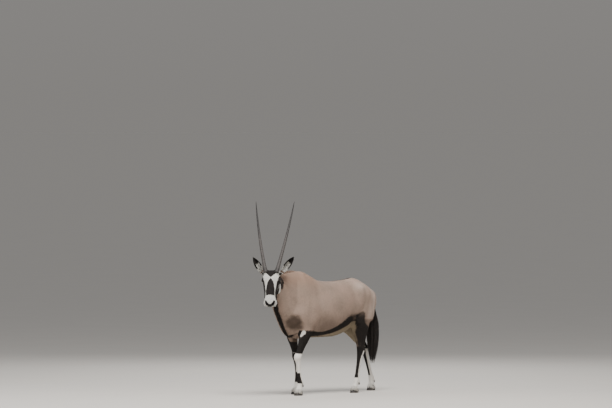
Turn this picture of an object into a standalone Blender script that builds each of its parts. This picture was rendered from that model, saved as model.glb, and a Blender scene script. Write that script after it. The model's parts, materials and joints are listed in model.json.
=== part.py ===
# A gemsbok (Oryx gazella) standing life size, head turned to its left, as one still model in parts.
# Frame: metres, +Z up, nose towards -Y, the animal's left towards +X, the floor at Z 0.
import math

import bmesh
import bpy
import numpy as np
from mathutils import Matrix

# Driving dimensions, in metres and degrees.
GAP = 0.0003
VOXEL = 0.006
BODY_TRIANGLES = 4950
SEED = 7

# The head's own frame: origin between the horns, yaw to the left, pitch of the face below level.
HEAD_ORIGIN = (0.130, -1.007, 1.215)
HEAD_YAW = 39.0
HEAD_PITCH = 60.0

HORN_RADIUS = 0.0215
HORN_ROOT = (-0.008, 0.0555, -0.012)
HORN_TIP_SPREAD = 0.1875
HORN_SPREAD_CURVE = 0.35
HORN_RISE = 0.665
HORN_BACK = 0.529
HORN_RINGS = 18
EYE_RADIUS = 0.0195
EYE_CENTRE = (0.073, 0.0705, -0.046)
EAR_ROOT = (-0.040, 0.088, -0.118)
EAR_LENGTH = 0.200
EAR_HALF_WIDTH = 0.031
HOOF_HEIGHT = 0.048

# Trunk: y, top height, bottom height, half width, height of the widest place.
TRUNK = (
    (-0.665, 0.900, 0.640, 0.050, 0.760),
    (-0.635, 1.010, 0.585, 0.105, 0.790),
    (-0.570, 1.150, 0.555, 0.145, 0.830),
    (-0.490, 1.204, 0.545, 0.172, 0.850),
    (-0.385, 1.172, 0.550, 0.190, 0.840),
    (-0.275, 1.122, 0.554, 0.208, 0.825),
    (-0.140, 1.100, 0.553, 0.224, 0.810),
    (0.000, 1.096, 0.560, 0.228, 0.815),
    (0.100, 1.103, 0.590, 0.221, 0.830),
    (0.190, 1.114, 0.645, 0.209, 0.850),
    (0.275, 1.124, 0.690, 0.197, 0.875),
    (0.370, 1.086, 0.715, 0.183, 0.900),
    (0.455, 1.042, 0.735, 0.158, 0.900),
    (0.520, 0.998, 0.760, 0.120, 0.895),
    (0.560, 0.960, 0.810, 0.065, 0.880),
)
# Neck: y and height of its crest, y and height of its throat line, x, half width.
NECK = (
    (-0.430, 1.192, -0.500, 0.590, 0.000, 0.150),
    (-0.530, 1.206, -0.610, 0.562, 0.000, 0.145),
    (-0.610, 1.204, -0.675, 0.595, 0.004, 0.126),
    (-0.700, 1.198, -0.735, 0.665, 0.014, 0.106),
    (-0.785, 1.194, -0.800, 0.745, 0.032, 0.092),
    (-0.860, 1.190, -0.858, 0.830, 0.052, 0.084),
    (-0.925, 1.188, -0.905, 0.915, 0.074, 0.077),
    (-0.965, 1.180, -0.945, 0.985, 0.094, 0.062),
)
# Head: distance down the face, top, bottom, half width, height of the widest place.
HEAD = (
    (-0.060, -0.088, -0.135, 0.030, -0.108),
    (-0.040, -0.048, -0.162, 0.054, -0.092),
    (-0.012, -0.014, -0.182, 0.068, -0.074),
    (0.020, 0.002, -0.192, 0.077, -0.062),
    (0.054, 0.008, -0.196, 0.081, -0.056),
    (0.089, 0.007, -0.192, 0.080, -0.056),
    (0.132, 0.002, -0.176, 0.073, -0.062),
    (0.175, -0.002, -0.154, 0.067, -0.066),
    (0.218, -0.004, -0.132, 0.062, -0.068),
    (0.263, -0.006, -0.116, 0.061, -0.070),
    (0.298, -0.011, -0.106, 0.064, -0.070),
    (0.328, -0.022, -0.097, 0.061, -0.068),
    (0.348, -0.038, -0.086, 0.047, -0.066),
)
# Limb girths: joint where the stretch starts, share of the way to the next joint, half width,
# depth in front of the bone line, depth behind it.
FORE_LIMB = (
    ("blade", 0.00, 0.030, 0.050, 0.060),
    ("blade", 0.38, 0.050, 0.085, 0.095),
    ("blade", 0.74, 0.060, 0.100, 0.120),
    ("shoulder", 0.00, 0.062, 0.100, 0.125),
    ("shoulder", 0.60, 0.058, 0.080, 0.108),
    ("elbow", 0.00, 0.054, 0.068, 0.084),
    ("elbow", 0.30, 0.047, 0.057, 0.062),
    ("elbow", 0.62, 0.036, 0.042, 0.043),
    ("elbow", 0.86, 0.032, 0.035, 0.035),
    ("knee", 0.00, 0.038, 0.042, 0.036),
    ("knee", 0.15, 0.029, 0.031, 0.031),
    ("knee", 0.45, 0.0220, 0.022, 0.027),
    ("knee", 0.80, 0.0225, 0.023, 0.028),
    ("fetlock", 0.00, 0.0290, 0.029, 0.032),
    ("fetlock", 0.50, 0.0270, 0.027, 0.026),
    ("coronet", 0.00, 0.0325, 0.037, 0.034),
)
HIND_LIMB = (
    ("hip", 0.00, 0.055, 0.100, 0.120),
    ("hip", 0.40, 0.074, 0.150, 0.165),
    ("hip", 0.75, 0.078, 0.155, 0.170),
    ("stifle", 0.00, 0.072, 0.135, 0.145),
    ("stifle", 0.32, 0.058, 0.098, 0.105),
    ("stifle", 0.62, 0.043, 0.068, 0.072),
    ("stifle", 0.86, 0.034, 0.048, 0.056),
    ("hock", 0.00, 0.034, 0.042, 0.052),
    ("hock", 0.22, 0.026, 0.032, 0.034),
    ("hock", 0.55, 0.0220, 0.025, 0.028),
    ("hock", 0.84, 0.0230, 0.025, 0.028),
    ("fetlock", 0.00, 0.0290, 0.030, 0.032),
    ("fetlock", 0.50, 0.0270, 0.028, 0.026),
    ("coronet", 0.00, 0.0325, 0.038, 0.034),
)
# The last outline inside the hoof: step forwards, height, half width, depth in front and behind.
LIMB_END = (0.008, 0.012, 0.0330, 0.041, 0.037)
LEGS = {
    "foreleg_left": {
        "blade": (0.080, -0.430, 1.090), "shoulder": (0.118, -0.525, 0.775),
        "elbow": (0.128, -0.500, 0.640), "knee": (0.102, -0.598, 0.370),
        "fetlock": (0.108, -0.574, 0.122), "coronet": (0.110, -0.592, 0.046),
    },
    "foreleg_right": {
        "blade": (-0.080, -0.400, 1.090), "shoulder": (-0.118, -0.500, 0.775),
        "elbow": (-0.128, -0.455, 0.640), "knee": (-0.104, -0.404, 0.370),
        "fetlock": (-0.102, -0.386, 0.122), "coronet": (-0.102, -0.408, 0.046),
    },
    "hindleg_left": {
        "hip": (0.085, 0.370, 0.995), "stifle": (0.138, 0.255, 0.720),
        "hock": (0.120, 0.282, 0.415), "fetlock": (0.117, 0.223, 0.118),
        "coronet": (0.117, 0.200, 0.046),
    },
    "hindleg_right": {
        "hip": (-0.085, 0.370, 0.995), "stifle": (-0.135, 0.350, 0.720),
        "hock": (-0.107, 0.582, 0.420), "fetlock": (-0.110, 0.690, 0.118),
        "coronet": (-0.110, 0.692, 0.046),
    },
}
# Muscles and bony lumps under the skin: centre, radii, and turn about X in degrees.
LUMPS = (
    ((0.098, -0.555, 0.770), (0.072, 0.080, 0.110), 12.0),
    ((-0.098, -0.535, 0.770), (0.072, 0.080, 0.110), 12.0),
    ((0.112, -0.415, 0.750), (0.078, 0.105, 0.100), -20.0),
    ((-0.112, -0.390, 0.750), (0.078, 0.105, 0.100), -20.0),
)
# Lumps of the head in its own frame: centre, radii; each is set on both sides.
HEAD_LUMPS = (
    ((0.066, 0.060, -0.036), (0.042, 0.026, 0.028)),
    ((0.076, 0.045, -0.130), (0.070, 0.026, 0.055)),
    ((-0.040, 0.062, -0.118), (0.030, 0.036, 0.026)),
    ((0.302, 0.032, -0.044), (0.034, 0.028, 0.024)),
    ((-0.006, 0.050, -0.028), (0.034, 0.032, 0.026)),
)
TAIL_DOCK = (
    (0.520, 0.978, 0.030),
    (0.560, 0.955, 0.028),
    (0.588, 0.902, 0.025),
    (0.594, 0.820, 0.022),
    (0.592, 0.700, 0.018),
    (0.590, 0.600, 0.009),
)
TAIL_Y = 0.592
TAIL_HAIR = (0.825, 0.610)
TAIL_TIP = 0.262
TAIL_TIP_SPREAD = 0.13
TAIL_DOCK_RISE = (0.0, 0.97, 0.25)
TAIL_LOCKS = 29
TAIL_LOCK_WIDTH = 0.0155
TAIL_LOCK_THICKNESS = 0.006
TAIL_LOCK_PROFILE = (0.45, 0.90, 1.00, 0.95, 0.85, 0.60, 0.08)
TAIL_LAYERS = (0.68, 0.98)
# The tuft's outline: height, reach from its middle line.
TAIL_OUTLINE = (
    (0.830, 0.022),
    (0.760, 0.040),
    (0.660, 0.053),
    (0.520, 0.057),
    (0.420, 0.054),
    (0.340, 0.046),
    (0.255, 0.034),
)
TAIL_CORE = (
    (0.800, 0.020),
    (0.740, 0.032),
    (0.660, 0.042),
    (0.560, 0.042),
    (0.450, 0.026),
)
GOLDEN_TURN = 2.39996
LOCK_TIP = 0.0005
MANE = (-0.945, -0.545)
MANE_LOCKS = 24
MANE_LENGTH = 0.036
MANE_LOCK_PROFILE = (0.8, 1.0, 0.7, 0.08)
MANE_WIDTH = 0.010
MANE_THICKNESS = 0.006

# Places where the skin is blended smooth: centre, reach, strength.
BLENDS = (
    ((0.0, -0.60, 0.82), 0.38, 0.9),
    ((0.16, -0.45, 0.75), 0.26, 0.9),
    ((-0.16, -0.42, 0.75), 0.26, 0.9),
    ((0.14, 0.33, 0.86), 0.32, 0.9),
    ((-0.14, 0.33, 0.86), 0.32, 0.9),
    ((0.0, 0.50, 0.95), 0.20, 0.8),
    ((0.05, -0.90, 1.10), 0.10, 0.8),
)
HEAD_MIDDLE = (0.155, 0.0, -0.06)
HEAD_REACH = 0.235
KEEP = (0.5, 0.8, 0.93)
KEEP_FACTOR = 0.005
LOWER_LEG = 0.5
HORN_BOW = 0.016
HORN_BOW_WAY = (0.78, 0.62)
HORN_COLLAR = 0.030
HORN_RINGED = 0.52
HORN_SUNK = 0.020
HORN_TAPER = 0.50
HORN_FLARE = (0.25, 0.08)
HORN_RIDGE = 0.0016
HORN_SIDES = 9
LID_OPENING = (1.15, 0.72)
LID_SIZE = 0.0036
# Nostril: down the face, across, off the face, radius.
NOSTRIL = (
    (0.349, 0.011, -0.052, 0.0040),
    (0.343, 0.022, -0.044, 0.0065),
    (0.333, 0.033, -0.036, 0.0065),
    (0.318, 0.041, -0.031, 0.0030),
)
MOUTH_START = 0.273
MOUTH_HEIGHT = -0.074
MOUTH_THICKNESS = 0.003
MOUTH_OUTER = (0.095, 0.080)
MOUTH_INNER = (0.064, 0.048)
EAR_AXIS = {1: (0.447, 0.417, 0.792), -1: (-0.656, -0.002, 0.755)}
EAR_OPENING = {1: (0.68, -0.70, 0.05), -1: (0.25, -0.95, 0.20)}
# Ear: share of its length, share of its half width.
EAR_PROFILE = (
    (0.00, 0.50),
    (0.10, 0.62),
    (0.22, 0.82),
    (0.34, 0.96),
    (0.46, 1.00),
    (0.58, 0.92),
    (0.70, 0.75),
    (0.82, 0.51),
    (0.92, 0.27),
    (1.00, 0.07),
)
EAR_WALL = 0.004
EAR_CUT = 0.022
# Hoof: height, reach in front, reach behind, half width outwards, half width inwards.
HOOF = (
    (0.000, 0.057, 0.031, 0.0185, 0.0140),
    (0.010, 0.054, 0.033, 0.0185, 0.0140),
    (0.030, 0.043, 0.034, 0.0180, 0.0140),
    (0.070, 0.022, 0.033, 0.0170, 0.0140),
)
HOOF_CLEFT = 0.003
HOOF_SLOPE = 24.0
HOOF_POINT = (0.45, 1.8)
DEWCLAW_PLACE = (0.015, 0.025, -0.028)
DEWCLAW_RADII = (0.0085, 0.0090, 0.0140)
DEWCLAW_TILT = 25.0
# Where each leg is parted from the trunk: inner side, front and back, height of the sloping cut at
# its middle, slope across, slope towards the back.
LEG_CUTS = {
    "foreleg_left": (0.012, -0.72, -0.37, (0.130, -0.520, 0.625), 0.75, 0.15),
    "foreleg_right": (0.012, -0.66, -0.30, (0.130, -0.450, 0.625), 0.75, 0.15),
    "hindleg_left": (0.012, 0.085, 0.70, (0.150, 0.300, 0.770), 0.95, 0.35),
    "hindleg_right": (0.012, 0.100, 0.90, (0.150, 0.340, 0.770), 0.95, 0.35),
}
BODY_CUTS = (
    ("head", (0.17, -1.10, 1.0), -20.0, (0.5, 0.17, 0.6), "white"),
    ("neck", (0.0, -0.90, 0.95), -8.0, (0.5, 0.30, 0.6), "fawn"),
)

# How square each outline is: 2 is an ellipse.
SQUARENESS = {"trunk": 2.15, "neck": 2.0, "head": 2.25, "limb": 2.1, "hoof": 2.4}
NECK_MIDDLE = 0.47
COLOURS = {
    "fawn": (0.42, 0.33, 0.28),
    "fawn_dark": (0.36, 0.27, 0.23),
    "white": (0.74, 0.71, 0.67),
    "black": (0.030, 0.026, 0.024),
    "horn": (0.16, 0.13, 0.11),
    "hoof": (0.09, 0.08, 0.075),
    "eye": (0.02, 0.012, 0.008),
}


def remove_everything():
    for item in list(bpy.data.objects):
        bpy.data.objects.remove(item, do_unlink=True)


def material(name, colour, roughness):
    shade = bpy.data.materials.new(name)
    shade.use_nodes = True
    shader = shade.node_tree.nodes["Principled BSDF"]
    shader.inputs["Base Color"].default_value = (*colour, 1.0)
    shader.inputs["Roughness"].default_value = roughness
    shader.inputs["Metallic"].default_value = 0.0
    return shade


def spline(rows, count):
    # Catmull-Rom curve through the rows, by chord length, read at evenly spaced places.
    rows = np.asarray(rows, float)
    steps = np.linalg.norm(np.diff(rows[:, :3], axis=0), axis=1)
    knots = np.concatenate([[0.0], np.cumsum(steps)])
    slopes = np.gradient(rows, knots, axis=0)
    places = np.linspace(0.0, knots[-1], count)
    index = np.clip(np.searchsorted(knots, places, side="right") - 1, 0, len(rows) - 2)
    width = (knots[index + 1] - knots[index])[:, None]
    t = (places - knots[index])[:, None] / width
    blend_a = 2 * t ** 3 - 3 * t ** 2 + 1
    blend_b = t ** 3 - 2 * t ** 2 + t
    return (blend_a * rows[index] + blend_b * width * slopes[index]
            + (1 - blend_a) * rows[index + 1] + (t ** 3 - t ** 2) * width * slopes[index + 1])


def closed_mesh(name, rings):
    # A tube of rings with the same count of points, each end closed by a fan on its middle.
    rings = np.asarray(rings, float)
    count, sides = rings.shape[:2]
    points = [tuple(p) for p in rings.reshape(-1, 3)]
    faces = []
    for i in range(count - 1):
        for j in range(sides):
            k = (j + 1) % sides
            faces.append((i * sides + j, i * sides + k, (i + 1) * sides + k, (i + 1) * sides + j))
    for ring, flip in ((0, True), (count - 1, False)):
        points.append(tuple(rings[ring].mean(axis=0)))
        for j in range(sides):
            k = (j + 1) % sides
            pair = (ring * sides + k, ring * sides + j) if flip else (ring * sides + j, ring * sides + k)
            faces.append((*pair, len(points) - 1))
    return mesh_object(name, points, faces)


def mesh_object(name, points, faces):
    mesh = bpy.data.meshes.new(name)
    mesh.from_pydata([tuple(map(float, p)) for p in points], [], [tuple(map(int, f)) for f in faces])
    work = bmesh.new()
    work.from_mesh(mesh)
    bmesh.ops.recalc_face_normals(work, faces=work.faces)
    work.to_mesh(mesh)
    work.free()
    thing = bpy.data.objects.new(name, mesh)
    bpy.context.scene.collection.objects.link(thing)
    return thing


def oval(centre, side, rise, half_width, above, below, power, sides):
    # A rounded outline: each quarter is a superellipse with its own height.
    angle = np.arange(sides) * 2 * math.pi / sides
    across = np.sign(np.cos(angle)) * np.abs(np.cos(angle)) ** (2 / power) * half_width
    height = np.sign(np.sin(angle)) * np.abs(np.sin(angle)) ** (2 / power)
    height = height * np.where(height > 0, above, below)
    return centre + across[:, None] * side + height[:, None] * rise


def trunk():
    rings = []
    for y, top, bottom, half_width, middle in spline([(r[0], r[1], r[2], r[3], r[4]) for r in TRUNK], 60):
        rings.append(oval(np.array((0.0, y, middle)), np.array((1.0, 0, 0)), np.array((0, 0, 1.0)),
                          half_width, top - middle, middle - bottom, SQUARENESS["trunk"], 40))
    return closed_mesh("trunk", rings)


def neck():
    rings = []
    for crest_y, crest_z, throat_y, throat_z, x, half_width in spline(NECK, 40):
        crest = np.array((x, crest_y, crest_z))
        throat = np.array((x, throat_y, throat_z))
        rise = (crest - throat) / np.linalg.norm(crest - throat)
        middle = throat + (crest - throat) * NECK_MIDDLE
        rings.append(oval(middle, np.array((1.0, 0, 0)), rise, half_width, np.linalg.norm(crest - middle),
                          np.linalg.norm(middle - throat), SQUARENESS["neck"], 36))
    return closed_mesh("neck", rings)


def head_axes():
    yaw = math.radians(HEAD_YAW)
    pitch = math.radians(HEAD_PITCH)
    level = np.array((math.sin(yaw), -math.cos(yaw), 0.0))
    down_face = level * math.cos(pitch) + np.array((0, 0, -math.sin(pitch)))
    off_face = level * math.sin(pitch) + np.array((0, 0, math.cos(pitch)))
    left = np.array((math.cos(yaw), math.sin(yaw), 0.0))
    return down_face, left, off_face


def head_point(place):
    # A place in the head's frame: down the face, to the animal's left, off the face.
    down_face, left, off_face = head_axes()
    return np.array(HEAD_ORIGIN) + place[0] * down_face + place[1] * left + place[2] * off_face


def head():
    left, off_face = head_axes()[1:]
    rings = []
    for along, top, bottom, half_width, middle in spline([(r[0], r[1], r[2], r[3], r[4]) for r in HEAD], 56):
        rings.append(oval(head_point((along, 0, middle)), left, off_face,
                          half_width, top - middle, middle - bottom, SQUARENESS["head"], 36))
    return closed_mesh("head", rings)


def limb(name):
    joints = LEGS[name]
    names = list(joints)
    rows = []
    for joint, share, half_width, front, behind in (FORE_LIMB if name.startswith("fore") else HIND_LIMB):
        start = np.array(joints[joint])
        end = np.array(joints[names[min(names.index(joint) + 1, len(names) - 1)]])
        rows.append((*(start + share * (end - start)), half_width, front, behind))
    rows.append((rows[-1][0], rows[-1][1] - LIMB_END[0], *LIMB_END[1:]))
    rows = spline(rows, 90)
    tangents = np.gradient(rows[:, :3], axis=0)
    rings = []
    for row, tangent in zip(rows, tangents):
        tangent = tangent / np.linalg.norm(tangent)
        front = np.array((0.0, -1.0, 0.0))
        front = front - tangent * front.dot(tangent)
        front = front / np.linalg.norm(front)
        side = np.cross(tangent, front)
        rings.append(oval(row[:3], side, front, row[3], row[4], row[5], SQUARENESS["limb"], 24))
    return closed_mesh(name, rings)


def ellipsoid(name, centre, radii, axes=None, segments=20):
    ball = bmesh.new()
    bmesh.ops.create_uvsphere(ball, u_segments=segments, v_segments=segments // 2 + 1, radius=1.0)
    points = np.array([v.co for v in ball.verts]) * np.array(radii)
    faces = [[v.index for v in f.verts] for f in ball.faces]
    ball.free()
    if axes is not None:
        points = points @ np.array(axes)
    return mesh_object(name, points + np.array(centre), faces)


def lumps():
    made = []
    for centre, radii, turn in LUMPS:
        axes = np.array(Matrix.Rotation(math.radians(turn), 3, "X").transposed())
        made.append(ellipsoid("lump", centre, radii, axes))
    axes = np.array(head_axes())
    for (along, across, off), radii in HEAD_LUMPS:
        for side in (1, -1):
            made.append(ellipsoid("lump", head_point((along, side * across, off)), radii, axes))
    return made


def tail_dock(name, grow=0.0):
    rings = []
    for y, z, radius in spline(TAIL_DOCK, 16):
        size = radius + grow / math.cos(math.pi / 12)
        rings.append(oval(np.array((0.0, y, z)), np.array((1.0, 0, 0)), np.array(TAIL_DOCK_RISE),
                          size, size, size, 2.0, 12))
    if grow:
        rings[0] = rings[0] + (0.0, -grow, grow)
    return closed_mesh(name, rings)


def lock(path, widths, flat_side, thickness):
    # A flat tapered lock: a four-sided outline carried along its bent path to a thin tip.
    tangents = np.gradient(path, axis=0)
    rings = []
    for point, tangent, width in zip(path, tangents, widths):
        tangent = tangent / np.linalg.norm(tangent)
        out = flat_side - tangent * flat_side.dot(tangent)
        out = out / np.linalg.norm(out)
        across = np.cross(tangent, out)
        deep = max(thickness * width / max(widths), LOCK_TIP)
        wide = max(width, LOCK_TIP)
        rings.append([point + across * wide, point + out * deep, point - across * wide, point - out * deep])
    return closed_mesh("lock", rings)


def tail_hair():
    # Long locks root all round the dock, swell out to the tuft's outline and hang to its tip.
    draw = np.random.default_rng(SEED)
    heights = np.array([row[0] for row in TAIL_OUTLINE])
    reaches = np.array([row[1] for row in TAIL_OUTLINE])
    locks = []
    for i in range(TAIL_LOCKS):
        share = (i + 0.5) / TAIL_LOCKS
        turn = i * GOLDEN_TURN
        top = TAIL_HAIR[0] - share * (TAIL_HAIR[0] - TAIL_HAIR[1])
        tip = TAIL_TIP + (1 - share) * TAIL_TIP_SPREAD * draw.uniform(0.2, 1.0)
        layer = TAIL_LAYERS[1] - (TAIL_LAYERS[1] - TAIL_LAYERS[0]) * (i % 3) / 2
        around = turn + draw.uniform(-0.25, 0.25)
        drift = draw.uniform(-0.3, 0.3)
        path = []
        for step in np.linspace(0.0, 1.0, 7):
            z = top + (tip - top) * step
            reach = np.interp(-z, -heights, reaches) * layer * min(1.0, 0.25 + 2.2 * step)
            reach = reach * (1 - 0.15 * step ** 3)
            angle = around + drift * step
            path.append((math.cos(angle) * reach, TAIL_Y + math.sin(angle) * reach, z))
        path = np.array(path)
        widths = TAIL_LOCK_WIDTH * draw.uniform(0.8, 1.15) * np.array(TAIL_LOCK_PROFILE)
        flat_side = np.array((math.cos(around), math.sin(around), 0.0))
        locks.append(lock(path, widths, flat_side, TAIL_LOCK_THICKNESS))
    return locks


def tail():
    core = [oval(np.array((0.0, TAIL_Y, z)), np.array((1.0, 0, 0)), np.array((0, 1.0, 0)), r, r, r, 2.0, 12)
            for z, r in spline([(z, r, 0.0) for z, r in TAIL_CORE], 10)[:, :2]]
    return keep_largest(combine(tail_dock("tail"), [closed_mesh("core", core)] + tail_hair(), "UNION"))


def mane_locks():
    # Short upright hair along the crest, each lock leaning back and a little to one side.
    draw = np.random.default_rng(SEED + 1)
    crest = spline([(row[4], row[0], row[1]) for row in NECK], 200)
    crest = crest[(crest[:, 1] > MANE[0]) & (crest[:, 1] < MANE[1])]
    locks = []
    for i, place in enumerate(np.linspace(0, len(crest) - 1, MANE_LOCKS).astype(int)):
        root = crest[place] + np.array((0.006 * (-1) ** i, 0.0, -0.010))
        lean = np.array((0.25 * (-1) ** i * draw.uniform(0.3, 1.0), draw.uniform(0.7, 1.0), 0.55))
        lean = lean / np.linalg.norm(lean)
        length = MANE_LENGTH * draw.uniform(0.85, 1.15)
        droop = np.array((0.0, 0.25, -0.25))
        path = [root + length * (lean * t + droop * t * t) for t in (0.0, 0.35, 0.7, 1.0)]
        widths = MANE_WIDTH * np.array(MANE_LOCK_PROFILE)
        locks.append(lock(np.array(path), widths, np.array((1.0, 0.0, 0.2)), MANE_THICKNESS))
    return locks


def join(name, things):
    points = []
    faces = []
    for thing in things:
        offset = len(points)
        points.extend(v.co[:] for v in thing.data.vertices)
        faces.extend([i + offset for i in f.vertices] for f in thing.data.polygons)
        bpy.data.objects.remove(thing, do_unlink=True)
    mesh = bpy.data.meshes.new(name)
    mesh.from_pydata(points, [], faces)
    thing = bpy.data.objects.new(name, mesh)
    bpy.context.scene.collection.objects.link(thing)
    return thing


def apply_modifiers(thing):
    graph = bpy.context.evaluated_depsgraph_get()
    mesh = bpy.data.meshes.new_from_object(thing.evaluated_get(graph))
    thing.modifiers.clear()
    thing.data = mesh
    return thing


def points_of(thing):
    flat = np.empty(len(thing.data.vertices) * 3)
    thing.data.vertices.foreach_get("co", flat)
    return flat.reshape(-1, 3)


def smooth(thing, rounds, strength):
    # Each point moves towards the mean of its neighbours by its own strength.
    points = points_of(thing)
    count = len(points)
    pairs = np.empty(len(thing.data.edges) * 2, dtype=np.int64)
    thing.data.edges.foreach_get("vertices", pairs)
    pairs = pairs.reshape(-1, 2)
    start = np.concatenate([pairs[:, 0], pairs[:, 1]])
    end = np.concatenate([pairs[:, 1], pairs[:, 0]])
    degree = np.bincount(start, minlength=count)
    weight = strength(points)[:, None]
    for _ in range(rounds):
        mean = np.stack([np.bincount(start, points[end, axis], count) for axis in range(3)], axis=1)
        points = points + weight * (mean / degree[:, None] - points)
    thing.data.vertices.foreach_set("co", points.ravel())
    thing.data.update()


def blend_strength(points):
    # Strong where limbs, neck and tail run into the trunk, light on the slim parts.
    strength = np.full(len(points), 0.10)
    for centre, radius, value in BLENDS:
        near = np.linalg.norm((points - np.array(centre)) / radius, axis=1)
        strength = np.maximum(strength, value * np.clip(1.6 - 1.6 * near, 0.0, 1.0))
    return strength


def thin_out(thing, triangles):
    # Fewer triangles, with the head kept finest and the lower legs finer than the trunk.
    points = points_of(thing)
    along = (points - np.array(HEAD_ORIGIN)) @ np.array(head_axes()).T
    distance = np.linalg.norm(along - np.array(HEAD_MIDDLE), axis=1)
    on_head = (distance < HEAD_REACH) & (along[:, 2] > -0.20)
    near_head = (distance < HEAD_REACH * 1.15) & (along[:, 2] > -0.22)
    share = np.where(points[:, 2] < LOWER_LEG, KEEP[2], 1.0)
    share = np.where(on_head, KEEP[0], np.where(near_head, KEEP[1], share))
    group = thing.vertex_groups.new(name="keep")
    for level in set(share.tolist()):
        group.add(np.flatnonzero(share == level).tolist(), level, "REPLACE")
    total = sum(len(f.vertices) - 2 for f in thing.data.polygons)
    fewer = thing.modifiers.new("fewer", "DECIMATE")
    fewer.ratio = triangles / total
    fewer.vertex_group = "keep"
    fewer.vertex_group_factor = KEEP_FACTOR
    apply_modifiers(thing)
    thing.vertex_groups.clear()


def whole_body():
    pieces = [trunk(), neck(), head()] + [limb(name) for name in LEGS] + lumps()
    body = join("body", pieces)
    remesh = body.modifiers.new("skin", "REMESH")
    remesh.mode = "VOXEL"
    remesh.voxel_size = VOXEL
    apply_modifiers(body)
    smooth(body, 50, blend_strength)
    thin_out(body, BODY_TRIANGLES)
    return body


def combine(thing, others, operation):
    # One Boolean of the thing with a collection of closed meshes, which are then removed.
    tools = bpy.data.collections.new("tools")
    bpy.context.scene.collection.children.link(tools)
    for other in others:
        tools.objects.link(other)
        bpy.context.scene.collection.objects.unlink(other)
        other.hide_render = True
        other.display_type = "WIRE"
    step = thing.modifiers.new("step", "BOOLEAN")
    step.operation = operation
    step.operand_type = "COLLECTION"
    step.collection = tools
    # The exact solver leaves open edges on these cuts, so the manifold one does them.
    step.solver = "MANIFOLD"
    apply_modifiers(thing)
    for other in list(others):
        bpy.data.objects.remove(other, do_unlink=True)
    bpy.data.collections.remove(tools)
    return thing


def copy_of(thing, name):
    twin = bpy.data.objects.new(name, thing.data.copy())
    bpy.context.scene.collection.objects.link(twin)
    return twin


def box(centre, axes, half_sizes, grow=0.0):
    # A box on its own three axes, each half size larger by grow.
    corners = np.array([(x, y, z) for x in (-1, 1) for y in (-1, 1) for z in (-1, 1)], float)
    points = corners * (np.array(half_sizes) + grow) @ np.array(axes, float) + np.array(centre)
    faces = ((0, 1, 3, 2), (4, 6, 7, 5), (0, 4, 5, 1), (2, 3, 7, 6), (0, 2, 6, 4), (1, 5, 7, 3))
    return mesh_object("cutter", points, faces)


def split_off(body, name, region):
    # The piece inside the region becomes a node, and the rest steps back from it by the gap.
    piece = combine(copy_of(body, name), [region(0.0)], "INTERSECT")
    combine(body, [region(GAP)], "DIFFERENCE")
    return keep_largest(piece)


def leg_region(name):
    # Everything under a sloping cut on one side of the animal, between a front and a back.
    inner, front, back, middle, slope_out, slope_back = LEG_CUTS[name]
    side = 1.0 if LEGS[name]["coronet"][0] > 0 else -1.0

    def region(grow):
        steep = math.sqrt(1 + slope_out ** 2 + slope_back ** 2)
        points = []
        for x in (inner - grow, 0.42 + grow):
            for y in (front - grow, back + grow):
                top = middle[2] + slope_out * (x - middle[0]) + slope_back * (y - middle[1])
                points.append((side * x, y, -0.1 - grow))
                points.append((side * x, y, top + grow * steep))
        faces = ((0, 1, 3, 2), (4, 6, 7, 5), (0, 4, 5, 1), (2, 3, 7, 6), (0, 2, 6, 4), (1, 5, 7, 3))
        return mesh_object("cutter", points, faces)

    return region


def box_region(centre, axes, half_sizes):
    return lambda grow: box(centre, axes, half_sizes, grow)


def keep_largest(thing):
    # Only the largest closed surface stays.
    work = bmesh.new()
    work.from_mesh(thing.data)
    bmesh.ops.remove_doubles(work, verts=work.verts, dist=1e-6)
    left = set(work.faces)
    best = []
    while left:
        start = left.pop()
        patch = [start]
        queue = [start]
        while queue:
            for edge in queue.pop().edges:
                for face in edge.link_faces:
                    if face in left:
                        left.discard(face)
                        patch.append(face)
                        queue.append(face)
        if sum(f.calc_area() for f in patch) > sum(f.calc_area() for f in best):
            best = patch
    best = set(best)
    bmesh.ops.delete(work, geom=[f for f in work.faces if f not in best], context="FACES")
    work.to_mesh(thing.data)
    work.free()
    return thing


def horn_path(side, share):
    # The horn's middle line: up and back, spreading fast at first, with a slight bow.
    left = head_axes()[1]
    level = np.array((math.sin(math.radians(HEAD_YAW)), -math.cos(math.radians(HEAD_YAW)), 0.0))
    root = head_point((HORN_ROOT[0], side * HORN_ROOT[1], HORN_ROOT[2]))
    share = np.asarray(share, float)[:, None]
    spread = (HORN_TIP_SPREAD - HORN_ROOT[1]) * (share + HORN_SPREAD_CURVE * share * (1 - share))
    bow = HORN_BOW * 4 * share * (1 - share)
    rise = HORN_RISE * share + bow * HORN_BOW_WAY[1]
    back = HORN_BACK * share - bow * HORN_BOW_WAY[0]
    return root + rise * np.array((0, 0, 1.0)) - back * level + side * spread * left


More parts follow.
